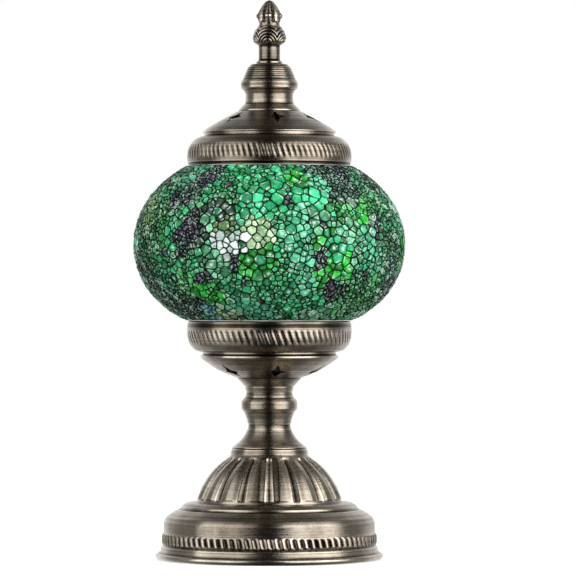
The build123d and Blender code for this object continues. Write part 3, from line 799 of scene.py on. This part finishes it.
def painted_bands(shape, *bands):
    """The shape with painted shade or painted light between pairs of heights, each (start, end, relief):
    darker where the relief is below zero, lighter where it is above.
    """

    def kept(r, z, azimuth):
        stand, relief = shape(r, z, azimuth)
        return stand, relief + sum(amount * window(z, start, end, 0.5) for start, end, amount in bands)

    return kept


def outer_only(shape, least_r):
    """Keeps a shape on the outer face of a wall, where the radius is at least least_r."""

    def kept(r, z, azimuth):
        stand, relief = shape(r, z, azimuth)
        outside = smooth((r - least_r) / 0.9)
        return stand * outside, relief * outside

    return kept


RIM_DROP = 0.6


def make_cap():
    rim, peak = low("cap_shell"), top("cap_shell")
    dome = above(peak, [
        (16.6, -1.1), (24.0, -3.8, 14), (31.0, -7.6, 14), (37.4, -11.6, 8), (39.8, -13.8, 0.5),
        (41.4, -14.0, 0.3), (42.2, -13.2, 0.8), (38.6, -10.6, 8), (31.7, -6.4, 14), (24.7, -2.8, 14),
        (19.6, -0.1, 2), (16.6, 0),
    ])
    dome = rounded(dome, step=1.3, turn_step=8)
    piece = lathe("cap_dome", "cap", upward(dome), ["cap_shell"], 224)
    pierce(piece, *CAP_STARS, peak - 14, peak + 2)
    wall = above(rim, [
        (50.0, -RIM_DROP, 0.3), (50.9, -RIM_DROP, 0.3), (50.9, 0.9, 0.2), (51.4, 1.4, 0.4),
        (51.6, 5.0, 8), (51.1, 9.4, 8), (49.3, 13.3, 6), (46.0, 16.4, 5), (43.2, 17.6, 0.4),
        (40.9, 17.5, 0.3),
    ])
    wall += above(peak, [(40.7, -13.3, 0.2), (39.6, -13.3, 0.2)])
    wall += above(rim, [
        (39.8, 16.4, 0.3), (45.0, 15.2, 5), (48.1, 12.5, 6), (49.9, 9.0, 8), (50.4, 5.0, 8),
    ])
    wall = rounded(wall, step=0.9, turn_step=12)
    start, end = CAP_BAND
    strokes = rope(CAP_STROKES, start, end, 0.30, 0.42, 0.42)
    # Painted shade along the hem against the globe, and painted light on the shoulder above the strokes.
    strokes = painted_bands(strokes, (rim - 2, rim + 1.3, -0.42), (end - 0.9, end + 3.1, 0.12))
    shape = outer_only(strokes, 48.2)
    lathe("cap_rim_band", "cap", upward(wall), ["cap_shell"], CAP_STROKES * 8, shape=shape)


def upward(outline):
    """The outline in the order whose outer side runs upwards."""
    return outline if area_of(outline) > 0 else outline[::-1]


def make_cap_spool():
    foot, peak = low("cap_spool"), top("cap_spool")
    outline = above(peak, [(4.0, 0)])
    outline += above(foot, [
        (4.0, 27), (10.4, 27, 1), (14.6, 18, 2), (13.2, 8, 1.5), (13.2, 4, 1.5), (17.2, 0),
        (19.4, 0, 0.2), (19.2, 0.7, 0.3), (18.0, 1.9, 3), (15.9, 3.9, 0.2), (15.3, 4.3, 0.2),
        (14.8, 7.6, 2), (14.8, 10.6, 2), (16.2, 13.2, 0.4), (17.4, 14.0, 0.2), (17.8, 14.6, 0.3),
        (17.8, 17.9, 0.8), (17.1, 19.2, 0.3), (16.5, 19.8, 0.2), (15.3, 23.2, 4), (13.6, 27.2, 2),
    ])
    outline += above(peak, [(11.2, -0.4, 1)])
    outline = rounded(outline, step=1.6, turn_step=10)

    def shape(r, z, azimuth):
        """Fine turned grooves on the little dome."""
        grooves = 0.5 + 0.5 * np.cos(2 * pi * (z - foot) / 1.35)
        dome = smooth((z - foot - 20.2) / 0.8) * (r > 9)
        return -0.16 * grooves * dome + 0 * azimuth, (0.08 - 0.28 * grooves) * dome + 0 * azimuth

    fine = divided(upward(outline), 0.34, True)
    lathe("cap_spool_turned", "cap", fine, ["cap_spool"], 160, shape=shape)


# Finial

PETALS, PETAL_TURN, ARCH_STEP, RIBS = 5, 0.76, 1.85, 8


def make_finial():
    """The cast bud: a plain stem, a round bulb of petals with nested arches and a ribbed, pointed tip."""
    foot, peak = low("finial"), top("finial")
    stem = above(foot, [
        (5.2, 9), (5.2, 0), (8.3, 0, 0.2), (8.3, 0.8, 0.3), (6.7, 1.9, 0.4), (6.7, 11.0, 0.3),
        (8.3, 12.0, 0.3),
    ])
    stem = rounded(stem, closed=False)
    body = above(foot, [
        (8.4, 12.2), (9.8, 14.0), (10.2, 16.4), (9.6, 18.6), (8.8, 20.6), (7.0, 23.0), (6.3, 25.2),
        (6.9, 27.6), (7.3, 29.6), (6.6, 31.8), (5.4, 34.0), (3.9, 36.4), (2.4, 38.4),
    ])
    body += above(peak, [(0.9, -0.2), (0.0, 0)])
    body = curve_through(body, 118)
    outline = stem + [(*p, 0.5) for p in body[1:]]

    def shape(r, z, azimuth):
        rise = z - foot
        bulb = window(rise, 12.2, 24.0, 1.2)
        petal = 2 * pi / PETALS
        aside = ((azimuth + PETAL_TURN) / petal % 1 - 0.5) * petal * np.maximum(r, 5)
        arch = (np.hypot(aside, 0.9 * (rise - 11.6)) / ARCH_STEP) % 1
        arches = 0.8 * np.sin(pi * arch) ** 0.8 - 0.5
        bud = window(rise, 24.8, 39.2, 1.4)
        rib = np.abs(np.cos(azimuth * RIBS / 2 + 0.4)) ** 0.7
        ribs = 1.15 * rib - 0.85
        ear = np.exp(-(((rise - 29.6) / 1.1) ** 2)) * np.abs(np.cos(azimuth * RIBS / 4 + 0.2)) ** 3
        lobe = np.exp(-(((rise - 26.6) / 1.3) ** 2)) * np.abs(np.sin(azimuth * RIBS / 4 + 0.2)) ** 2
        taper = np.clip(r / 5.0, 0, 1)
        stand = bulb * arches + taper * (bud * ribs + 0.8 * ear + 0.6 * lobe)
        relief = bulb * (0.85 * np.sin(pi * arch) - 0.58) + bud * (0.75 * rib - 0.52)
        return stand, relief + 0.2 * ear + 0.2 * lobe

    lathe("finial_cast", "finial", outline, ["finial"], 192, closed=False, shape=shape, crease=50)


# Glass globe

BELLY_R, BELLY_ANGLE, SHOULDER_R, NECK_CENTRE_R, NECK_R = 49.4, 37.4, 60.8, 56.0, 52.0
CHIP_GAP, CHIP_BEVEL, CHIP_SINK, GROUT_DEPTH = 0.50, 0.36, 1.3, 0.85
FRONT_MIDDLE = 2
SAG = 0.9


def globe_profile(inset):
    """How far along, the point and the outward normal of the globe's outline, from its lower rim to its
    upper one."""
    wide = reach("mosaic_layer")
    half = (top("mosaic_layer") - low("mosaic_layer")) / 2
    middle = (top("mosaic_layer") + low("mosaic_layer")) / 2
    out = np.array((cos(radians(BELLY_ANGLE)), sin(radians(BELLY_ANGLE))))
    belly = np.array((wide - BELLY_R, 0.0))
    shoulder = belly - out * (SHOULDER_R - BELLY_R)
    neck_r = NECK_R - inset
    span = SHOULDER_R - inset + NECK_CENTRE_R - neck_r
    neck = np.array((NECK_CENTRE_R, shoulder[1] + sqrt(span**2 - (NECK_CENTRE_R - shoulder[0]) ** 2)))
    lean = degrees(atan2(neck[1] - shoulder[1], neck[0] - shoulder[0]))
    upper = arc_points(belly, BELLY_R - inset, 0, BELLY_ANGLE, 1.5)
    upper += arc_points(shoulder, SHOULDER_R - inset, BELLY_ANGLE, lean, 1.5)[1:]
    upper += arc_points(neck, NECK_CENTRE_R - neck_r, 180 + lean, 180, 5)[1:]
    upper = np.array([p for p in upper if p[1] <= half])
    lower = upper[:0:-1] * (1, -1)
    line = np.vstack([lower, upper])
    line[:, 1] -= SAG * (1 - (line[:, 1] / half) ** 4)
    tangent = np.gradient(line, axis=0)
    tangent /= np.hypot(tangent[:, 0], tangent[:, 1])[:, None]
    along = np.concatenate([[0], np.cumsum(np.hypot(*np.diff(line, axis=0).T))])
    return along, line + (0, middle), np.column_stack([tangent[:, 1], -tangent[:, 0]])


# Each family of chips: its deep, middle and pale tints, and the usual size of a chip.
FAMILIES = {
    "emerald": ([(0.003, 0.08, 0.022), (0.012, 0.28, 0.085), (0.06, 0.64, 0.26)], 3.7),
    "mint": ([(0.004, 0.18, 0.058), (0.015, 0.44, 0.165), (0.09, 0.85, 0.4)], 5.3),
    "vivid": ([(0.002, 0.11, 0.004), (0.008, 0.35, 0.018), (0.04, 0.68, 0.07)], 4.6),
    "leaf": ([(0.004, 0.085, 0.012), (0.024, 0.27, 0.055), (0.11, 0.6, 0.17)], 3.3),
    "deep": ([(0.002, 0.035, 0.01), (0.008, 0.12, 0.036), (0.08, 0.44, 0.18)], 2.9),
    "teal": ([(0.008, 0.14, 0.06), (0.04, 0.4, 0.19), (0.18, 0.78, 0.46)], 4.1),
    "lime": ([(0.08, 0.2, 0.04), (0.28, 0.52, 0.15), (0.7, 0.9, 0.48)], 3.0),
    "sage": ([(0.018, 0.11, 0.045), (0.08, 0.34, 0.16), (0.26, 0.72, 0.42)], 4.8),
    "cream": ([(0.14, 0.25, 0.1), (0.4, 0.58, 0.3), (0.78, 0.95, 0.63)], 4.4),
    "white": ([(0.34, 0.43, 0.41), (0.74, 0.84, 0.83), (0.94, 0.98, 0.98)], 4.4),
    "olive": ([(0.03, 0.075, 0.018), (0.13, 0.22, 0.08), (0.34, 0.46, 0.22)], 4.0),
    "slate": ([(0.008, 0.016, 0.012), (0.026, 0.048, 0.036), (0.15, 0.24, 0.18)], 5.6),
    "night": ([(0.005, 0.003, 0.008), (0.02, 0.01, 0.03), (0.09, 0.062, 0.115)], 2.5),
    "navy": ([(0.003, 0.014, 0.013), (0.014, 0.045, 0.038), (0.22, 0.36, 0.28)], 2.7),
    "sky": ([(0.012, 0.11, 0.165), (0.06, 0.28, 0.4), (0.24, 0.6, 0.76)], 3.4),
}

# The colour patches of the front, each (azimuth, height above the table, half-width, family).
PATCHES = [
    (-53, 243, 8, "teal"), (-36, 238, 7, "night"), (-47, 224, 6, "night"), (-41, 231, 6, "navy"),
    (-62, 232, 8, "emerald"), (-56, 218, 8, "leaf"), (-67, 224, 6, "lime"), (-66, 210, 7, "lime"),
    (-78, 216, 8, "deep"), (-36, 205, 9, "night"), (-40, 196, 6, "night"), (-44, 214, 6, "emerald"),
    (-57, 199, 9, "leaf"), (-70, 197, 8, "deep"), (-48, 190, 8, "emerald"), (-62, 186, 8, "deep"),
    (-53, 177, 9, "emerald"), (-68, 176, 8, "navy"), (-52, 166, 8, "deep"), (-49, 159, 7, "navy"),
    (-34, 155, 4, "sky"), (-25, 153, 6, "cream"), (-34, 185, 8, "emerald"), (-40, 176, 7, "leaf"),
    (-31, 175, 4, "night"), (-30, 167, 7, "vivid"), (-23, 217, 7, "slate"), (-18, 229, 7, "leaf"),
    (-28, 229, 6, "emerald"), (-20, 239, 8, "emerald"), (-6, 237, 8, "emerald"), (-9, 228, 9, "mint"),
    (-4, 219, 7, "mint"), (1, 226, 8, "mint"), (-27, 210, 5, "sage"), (-19, 208, 6, "olive"),
    (-12, 208, 2, "teal"), (-28, 203, 4, "slate"), (-27, 197, 4, "teal"), (-20, 199, 6, "white"),
    (-13, 198, 7, "white"), (-16, 193, 5, "white"), (-25, 192, 5, "sage"), (-14, 187, 5, "night"),
    (-5, 209, 7, "cream"), (-2, 202, 7, "cream"), (-9, 205, 5, "cream"), (-7, 184, 10, "vivid"),
    (-2, 189, 8, "vivid"), (-20, 181, 6, "sage"), (2, 182, 7, "vivid"), (-18, 171, 8, "emerald"),
    (-10, 175, 2, "night"), (-6, 168, 8, "emerald"), (-18, 161, 5, "teal"), (-6, 157, 8, "teal"),
    (3, 236, 8, "mint"), (13, 237, 6, "vivid"), (8, 226, 2, "night"), (19, 228, 9, "mint"),
    (28, 233, 6, "teal"), (27, 244, 5, "navy"), (38, 233, 10, "navy"), (46, 240, 6, "night"),
    (37, 224, 5, "slate"), (57, 235, 8, "deep"), (56, 222, 8, "leaf"), (36, 218, 7, "leaf"),
    (46, 215, 5, "vivid"), (5, 213, 6, "emerald"), (14, 216, 6, "teal"), (21, 210, 7, "sage"),
    (34, 206, 9, "sage"), (50, 211, 5, "slate"), (64, 212, 8, "emerald"), (12, 203, 8, "teal"),
    (12, 189, 8, "teal"), (21, 198, 3, "vivid"), (21, 189, 3, "night"), (29, 195, 7, "mint"),
    (47, 197, 9, "teal"), (63, 199, 9, "deep"), (32, 183, 7, "vivid"), (26, 175, 6, "vivid"),
    (31, 167, 6, "night"), (48, 184, 7, "teal"), (44, 174, 7, "deep"), (57, 171, 8, "leaf"),
    (70, 178, 9, "navy"), (6, 178, 8, "emerald"), (15, 171, 7, "teal"), (10, 160, 7, "emerald"),
    (24, 162, 7, "emerald"), (34, 155, 6, "sage"), (42, 160, 7, "leaf"), (6, 195, 5, "emerald"),
    (27, 203, 4, "emerald"), (41, 190, 4, "sage"), (-47, 205, 4, "emerald"), (16, 246, 6, "emerald"),
]
BACK_START, BACK_ROWS, BACK_STEP = 76, 7, 13.0
BACK_MIX = ["emerald", "deep", "leaf", "teal", "mint", "emerald", "night", "vivid", "sage", "emerald"]
BACK_MIX += ["lime", "navy"]


def on_globe(azimuth, height, profile):
    """The point of the globe at an azimuth in degrees and a height above the table."""
    _, line, _ = profile
    r = np.interp(height, line[:, 1], line[:, 0])
    return Vector((r * sin(radians(azimuth)), -r * cos(radians(azimuth)), height))


def colour_patches(profile, rng):
    """The front's patches, and the same kind of patches in a loose order round the back."""
    patches = [(on_globe(a, z, profile), w, family) for a, z, w, family in PATCHES]
    _, line, _ = profile
    bottom, peak = line[0, 1], line[-1, 1]
    for row in range(BACK_ROWS):
        height = bottom + (row + 0.5) * (peak - bottom) / BACK_ROWS
        radius = np.interp(height, line[:, 1], line[:, 0])
        count = int(radians(360 - 2 * BACK_START) * radius / BACK_STEP)
        for i in range(count):
            azimuth = BACK_START + (i + rng.uniform(0.1, 0.9)) * (360 - 2 * BACK_START) / count
            family = BACK_MIX[rng.integers(len(BACK_MIX))]
            place = on_globe(azimuth, height + rng.uniform(-4, 4), profile)
            patches.append((place, rng.uniform(4, 8), family))
    return patches


def patch_at(point, patches, tree):
    """The family of the patch that a point lies in, with ragged borders."""
    ragged = 2.6 * noise.noise(point * 0.16) + 1.6 * noise.noise(point * 0.5)
    best, family = 1e9, None
    for _, index, distance in tree.find_n(point, 6):
        score = distance - patches[index][1] + ragged * (1 if index % 2 else -1)
        if score < best:
            best, family = score, patches[index][2]
    return family


# The coarsest chips against their family's usual size, and how much smaller the finest are.
COARSEST, SMALLER = 1.12, 0.45
# Random points tried, the range of sizes in a family, and the search for a chip's neighbours.
TRIES, SHARE_LOW, SHARE_HIGH, CELL, NEIGHBOURS = 110000, 0.5, 1.2, 6.0, 15


def coarseness(turn, height, point):
    """How coarse the chips are for their colour: coarser in the middle of the front, finer low down."""
    aside = abs(((degrees(turn) - FRONT_MIDDLE + 180) % 360) - 180)
    front = COARSEST - 0.30 * float(smooth((aside - 36) / 30))
    back = 0.22 * noise.noise(point * 0.03) * float(smooth((aside - 60) / 30))
    low_down = 0.16 * float(smooth((176 - height) / 16))
    return front + back - low_down


def scatter_chips(profile, patches, rng):
    """Places for the chips: random points, each as far from the others as its patch's chip size asks."""
    along, line, normal = profile
    tree = KDTree(len(patches))
    for i, (place, _, _) in enumerate(patches):
        tree.insert(place, i)
    tree.balance()
    weight = np.concatenate([[0], np.cumsum((line[1:, 0] + line[:-1, 0]) / 2 * np.diff(along))])
    ends = np.interp((line[0, 1] + LIP_BOTTOM + 0.6, line[-1, 1] - LIP_TOP - 0.6), line[:, 1], weight)
    steps = np.interp(rng.uniform(*ends, TRIES), weight, along)
    turns = rng.uniform(0, 2 * pi, TRIES)
    shares = rng.uniform(SHARE_LOW, SHARE_HIGH, TRIES)
    grid, chips = {}, []
    for step, turn, share in zip(steps, turns, shares):
        r = np.interp(step, along, line[:, 0])
        z = np.interp(step, along, line[:, 1])
        point = Vector((r * sin(turn), -r * cos(turn), z))
        family = patch_at(point, patches, tree)
        fineness = 1 - coarseness(turn, z, point) / COARSEST
        size = FAMILIES[family][1] * share * COARSEST * (1 - SMALLER * fineness)
        key = tuple(int(c // CELL) for c in point)
        near = (
            other
            for dx in (-1, 0, 1)
            for dy in (-1, 0, 1)
            for dz in (-1, 0, 1)
            for other in grid.get((key[0] + dx, key[1] + dy, key[2] + dz), ())
        )
        if all((other[0] - point).length > (other[1] + size) / 2 for other in near):
            out_r = np.interp(step, along, normal[:, 0])
            out_z = np.interp(step, along, normal[:, 1])
            out = Vector((out_r * sin(turn), -out_r * cos(turn), out_z)).normalized()
            chip = (point, size, family, out, fineness)
            grid.setdefault(key, []).append(chip)
            chips.append(chip)
    return chips


def clipped(polygon, nx, ny, limit):
    """The part of a convex polygon where x * nx + y * ny is under limit."""
    out = []
    count = len(polygon)
    for i in range(count):
        a, b = polygon[i], polygon[(i + 1) % count]
        da, db = a[0] * nx + a[1] * ny - limit, b[0] * nx + b[1] * ny - limit
        if da <= 0:
            out.append(a)
        if da * db < 0:
            t = da / (da - db)
            out.append((a[0] + (b[0] - a[0]) * t, a[1] + (b[1] - a[1]) * t))
    return out


def chip_outline(index, chips, tree, sideways, upwards, gap, covered):
    """The chip's outline in its own plane: what is nearer to it than to its neighbours, less the grout,
    and no further up or down than the glass is covered."""
    point, size = chips[index][:2]
    half = size * 0.92
    polygon = [(-half, -half * 0.8), (half * 0.7, -half), (half, half * 0.7), (-half * 0.8, half)]
    for _, other, distance in tree.find_n(point, NEIGHBOURS):
        if other == index or distance < 1e-6:
            continue
        away = chips[other][0] - point
        u, v = away.dot(sideways), away.dot(upwards)
        length = hypot(u, v)
        if length > 1e-6:
            share = size / (size + chips[other][1])
            polygon = clipped(polygon, u / length, v / length, length * share - gap / 2)
        if len(polygon) < 3:
            return []
    lowest, highest = covered
    polygon = clipped(polygon, 0, 1, (highest - point.z) / upwards.z)
    return clipped(polygon, 0, -1, (point.z - lowest) / upwards.z)


def softened(polygon, amount):
    """Each corner cut back to two points."""
    out = []
    for i, (x, y) in enumerate(polygon):
        for nx, ny in (polygon[i - 1], polygon[(i + 1) % len(polygon)]):
            out.append((x + (nx - x) * amount, y + (ny - y) * amount))
    return out


def chip_mesh(index, chips, tree, covered, rng):
    """Vertices, faces, relief and tint of one chip: a skirt in the grout, a bevel and a crowned top."""
    point, _, family, out, fineness = chips[index]
    # Painted light and shade: a fine chip now and then takes a painted glint as a whole, and fine chips
    # are darkened as painted shade.
    glints = LIT_GLINT if rng.random() < LIT * fineness else GLINT * (1 - 2 * fineness)
    depth = max(DARKEST, 1 - DARKER * fineness)
    sideways = Vector((-out.y, out.x, 0)).normalized()
    upwards = out.cross(sideways)
    gap = CHIP_GAP * rng.uniform(0.6, 1.5)
    polygon = chip_outline(index, chips, tree, sideways, upwards, gap, covered)
    if len(polygon) < 3:
        return None
    polygon = softened(polygon, 0.08)
    cx = sum(p[0] for p in polygon) / len(polygon)
    cy = sum(p[1] for p in polygon) / len(polygon)
    spread = min(hypot(x - cx, y - cy) for x, y in polygon)
    if spread < 0.35:
        return None
    bevel = min(CHIP_BEVEL, spread * 0.4)
    lean_x, lean_y = rng.normal(0, 0.085, 2)
    lift = rng.uniform(-0.32, 0.06)
    inner = 1 - bevel / (spread + 0.6)
    # Each ring: its share of the outline, its height and its relief, which the chip material turns into
    # painted shade on the bevel and a painted highlight on the crown.
    rings = [
        (1.0, -CHIP_SINK, 0.0), (1.0, lift - bevel * 1.1, 0.12), (inner, lift - bevel * 0.25, 0.62),
        (0.55 * inner, lift, 0.95),
    ]
    vertices, faces, relief, tints = [], [], [], []
    count = len(polygon)
    shades = FAMILIES[stray(family, rng)][0]
    clarity = rng.beta(0.9 - 1.2 * fineness, 1.2 - 1.2 * fineness)
    for ring, (share, height, mark) in enumerate(rings):
        for x, y in polygon:
            u, v = cx + (x - cx) * share, cy + (y - cy) * share
            h = height + (lean_x * (u - cx) + lean_y * (v - cy) if height > -CHIP_SINK else 0)
            h += rng.normal(0, 0.05) if mark > 0.5 else 0
            vertices.append(point + sideways * u + upwards * v + out * h)
            relief.append(mark)
            tints.append(chip_tint(shades, clarity, depth, glints if ring == BEVEL_RING else 0, rng))
    for ring in range(len(rings) - 1):
        for i in range(count):
            j = (i + 1) % count
            a, b = ring * count, (ring + 1) * count
            faces.append((a + i, a + j, b + j, b + i))
    last = (len(rings) - 1) * count
    vertices.append(point + sideways * cx + upwards * cy + out * (lift + rng.uniform(0.0, 0.14)))
    relief.append(1.0)
    tints.append(chip_tint(shades, clarity, depth, glints, rng))
    centre = len(vertices) - 1
    faces += [(last + i, last + (i + 1) % count, centre) for i in range(count)]
    if area_of(polygon) < 0:
        faces = [face[::-1] for face in faces]
    return vertices, faces, relief, tints


# How often a chip strays from its patch's family, and to which families.
STRAY, STRAYS = 0.10, ["emerald", "teal", "mint", "leaf", "deep", "night"]
# How often a chip's points take a painted glint, and how often a chip is painted lit as a whole where the
# chips are fine; how much darker the fine chips at the sides and low down get as painted shade, and the
# darkest that they get.
GLINT, GLINT_TINT, BEVEL_RING = 0.17, (0.70, 0.98, 0.82), 2
LIT, LIT_GLINT, DARKER, DARKEST = 0.6, 0.8, 1.5, 0.6


def stray(family, rng):
    """The family, now and then another one."""
    return STRAYS[rng.integers(len(STRAYS))] if rng.random() < STRAY else family


def chip_tint(shades, clarity, depth, glints, rng):
    """The colour of one point of a chip: its own shade with cloudy glass in it, or a painted glint of
    light. Depth darkens it as painted shade.
    """
    if rng.random() < glints:
        return (*GLINT_TINT, 1.0)
    t = min(1.0, max(0.0, clarity + rng.normal(0, 0.22)))
    deep, middle, pale = (np.array(shade) for shade in shades)
    tint = deep + (middle - deep) * t * 2 if t < 0.5 else middle + (pale - middle) * (t - 0.5) * 2
    return (*(tint * depth), 1.0)


CHIP_SECTORS = 6
LIP_BOTTOM, LIP_TOP, LIP_T, LIP_INSET = 0.45, 0.35, 0.7, 0.15


def make_mosaic():
    rng = np.random.default_rng(20)
    profile = globe_profile(0.0)
    patches = colour_patches(profile, rng)
    chips = scatter_chips(profile, patches, rng)
    tree = KDTree(len(chips))
    for i, chip in enumerate(chips):
        tree.insert(chip[0], i)
    tree.balance()
    covered = low("mosaic_layer") + LIP_BOTTOM, top("mosaic_layer") - LIP_TOP
    sectors = [([], [], [], []) for _ in range(CHIP_SECTORS)]
    for i, chip in enumerate(chips):
        made = chip_mesh(i, chips, tree, covered, rng)
        if made is None:
            continue
        turn = atan2(chip[0].x, -chip[0].y) % (2 * pi)
        vertices, faces, relief, tints = sectors[int(turn / (2 * pi) * CHIP_SECTORS) % CHIP_SECTORS]
        start = len(vertices)
        vertices += made[0]
        faces += [tuple(start + k for k in face) for face in made[1]]
        relief += made[2]
        tints += made[3]
    glass = mosaic_chip()
    for number, (vertices, faces, relief, tints) in enumerate(sectors, 1):
        attributes = [("relief", relief), ("tint", np.array(tints))]
        name = f"mosaic_chips_{number}"
        new_piece(name, "globe", glass, vertices, faces, ["mosaic_layer"], attributes, 28)
    make_grout()
    make_lips()


def make_lips():
    """The bare glass that shows as a thin pale line beside each metal rim."""
    _, line, _ = globe_profile(0.0)
    glass = blown_glass("lip_glass", (0.20, 0.26, 0.18), 1.0)
    for name, start, rise in (("lower", line[0], LIP_BOTTOM), ("upper", line[-1], -LIP_TOP)):
        r, z = start
        low_z, high_z = sorted((z, z + rise))
        outer = r - LIP_INSET
        corners = [(r - LIP_T, low_z), (outer, low_z, 0.2), (outer, high_z, 0.2), (r - LIP_T, high_z)]
        name = f"glass_lip_{name}"
        lathe(name, "globe", rounded(corners), segments=192, material=glass)


def make_grout():
    """The black bed that the chips stand in."""
    _, outer, _ = globe_profile(GROUT_DEPTH)
    _, inner, _ = globe_profile(GROUT_DEPTH + 0.6)
    outline = [(*p, 0.5) for p in outer] + [(*p, 0.5) for p in inner[::-1]]
    grout = black_grout()
    lathe("mosaic_grout", "globe", outline, ["mosaic_layer"], 256, material=grout)


# Finishes of the CAD pieces that keep their own shape


def dress_cad_nodes():
    rubber = moulded("soft_rubber", (0.010, 0.010, 0.010), (0.030, 0.029, 0.028), 0.62, 0.85)
    phenolic = moulded("black_phenolic", (0.012, 0.012, 0.012), (0.028, 0.027, 0.026), 0.28, 0.45)
    nylon = moulded("white_nylon", (0.62, 0.60, 0.52), (0.74, 0.73, 0.66), 0.3, 0.5)
    jacket = moulded("gold_jacket", (0.42, 0.30, 0.11), (0.55, 0.42, 0.18), 0.3, 0.45)
    glow = moulded("phosphor", (0.74, 0.42, 0.06), (0.90, 0.62, 0.16), 0.4, 0.6)
    finishes = {
        wool_felt(): ["felt_pad"],
        cast_iron(): ["base_weight"],
        STEEL: [
            "base_plate", "threaded_pipe", "lower_washer", "lower_nut", "cup_washer", "cup_nut",
            "harp_nut", "harp", "harp_stud", "stud_nuts", "holder_cap",
        ],
        BRASS: [
            "screw_shell", "contact_tongue", "terminal_screws", "finial_insert", "bulb_tip", "bulb_base",
        ],
        rubber: ["cord_grommet", "cup_seat_ring", "cap_seat_ring"],
        phenolic: ["holder_body", "holder_insulator", "bulb_insulator"],
        nylon: ["crimp_caps"],
        jacket: ["lead_live", "lead_neutral"],
        glow: ["bulb_filaments"],
        blown_glass("globe_glass", (0.84, 0.93, 0.90), 0.35): ["glass_globe"],
        blown_glass("bulb_glass", (0.96, 0.96, 0.92), 0.28): ["bulb_envelope", "bulb_stem"],
    }
    for material, names in finishes.items():
        for name in names:
            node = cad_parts[name]
            node.data.materials.clear()
            node.data.materials.append(material)


def make_lights():
    soft_light("left_box", -55, 580, 1500, 1750, 1900, 17)
    soft_light("right_box", 52, 580, 1500, 1750, 1900, 32)
    soft_light("top_box", 0, 2000, 300, 1200, 1200, 5, mirrored=False)
    soft_light("front_fill", 4, 60, 1500, 900, 700, 8, mirrored=False)
    make_world()
    make_floor(pale_floor())
    bpy.context.scene.view_settings.view_transform = "Standard"


make_camera()
make_lights()
make_base()
make_dome()
make_column()
make_cup()
make_cap()
make_cap_spool()
make_finial()
make_mosaic()
dress_cad_nodes()
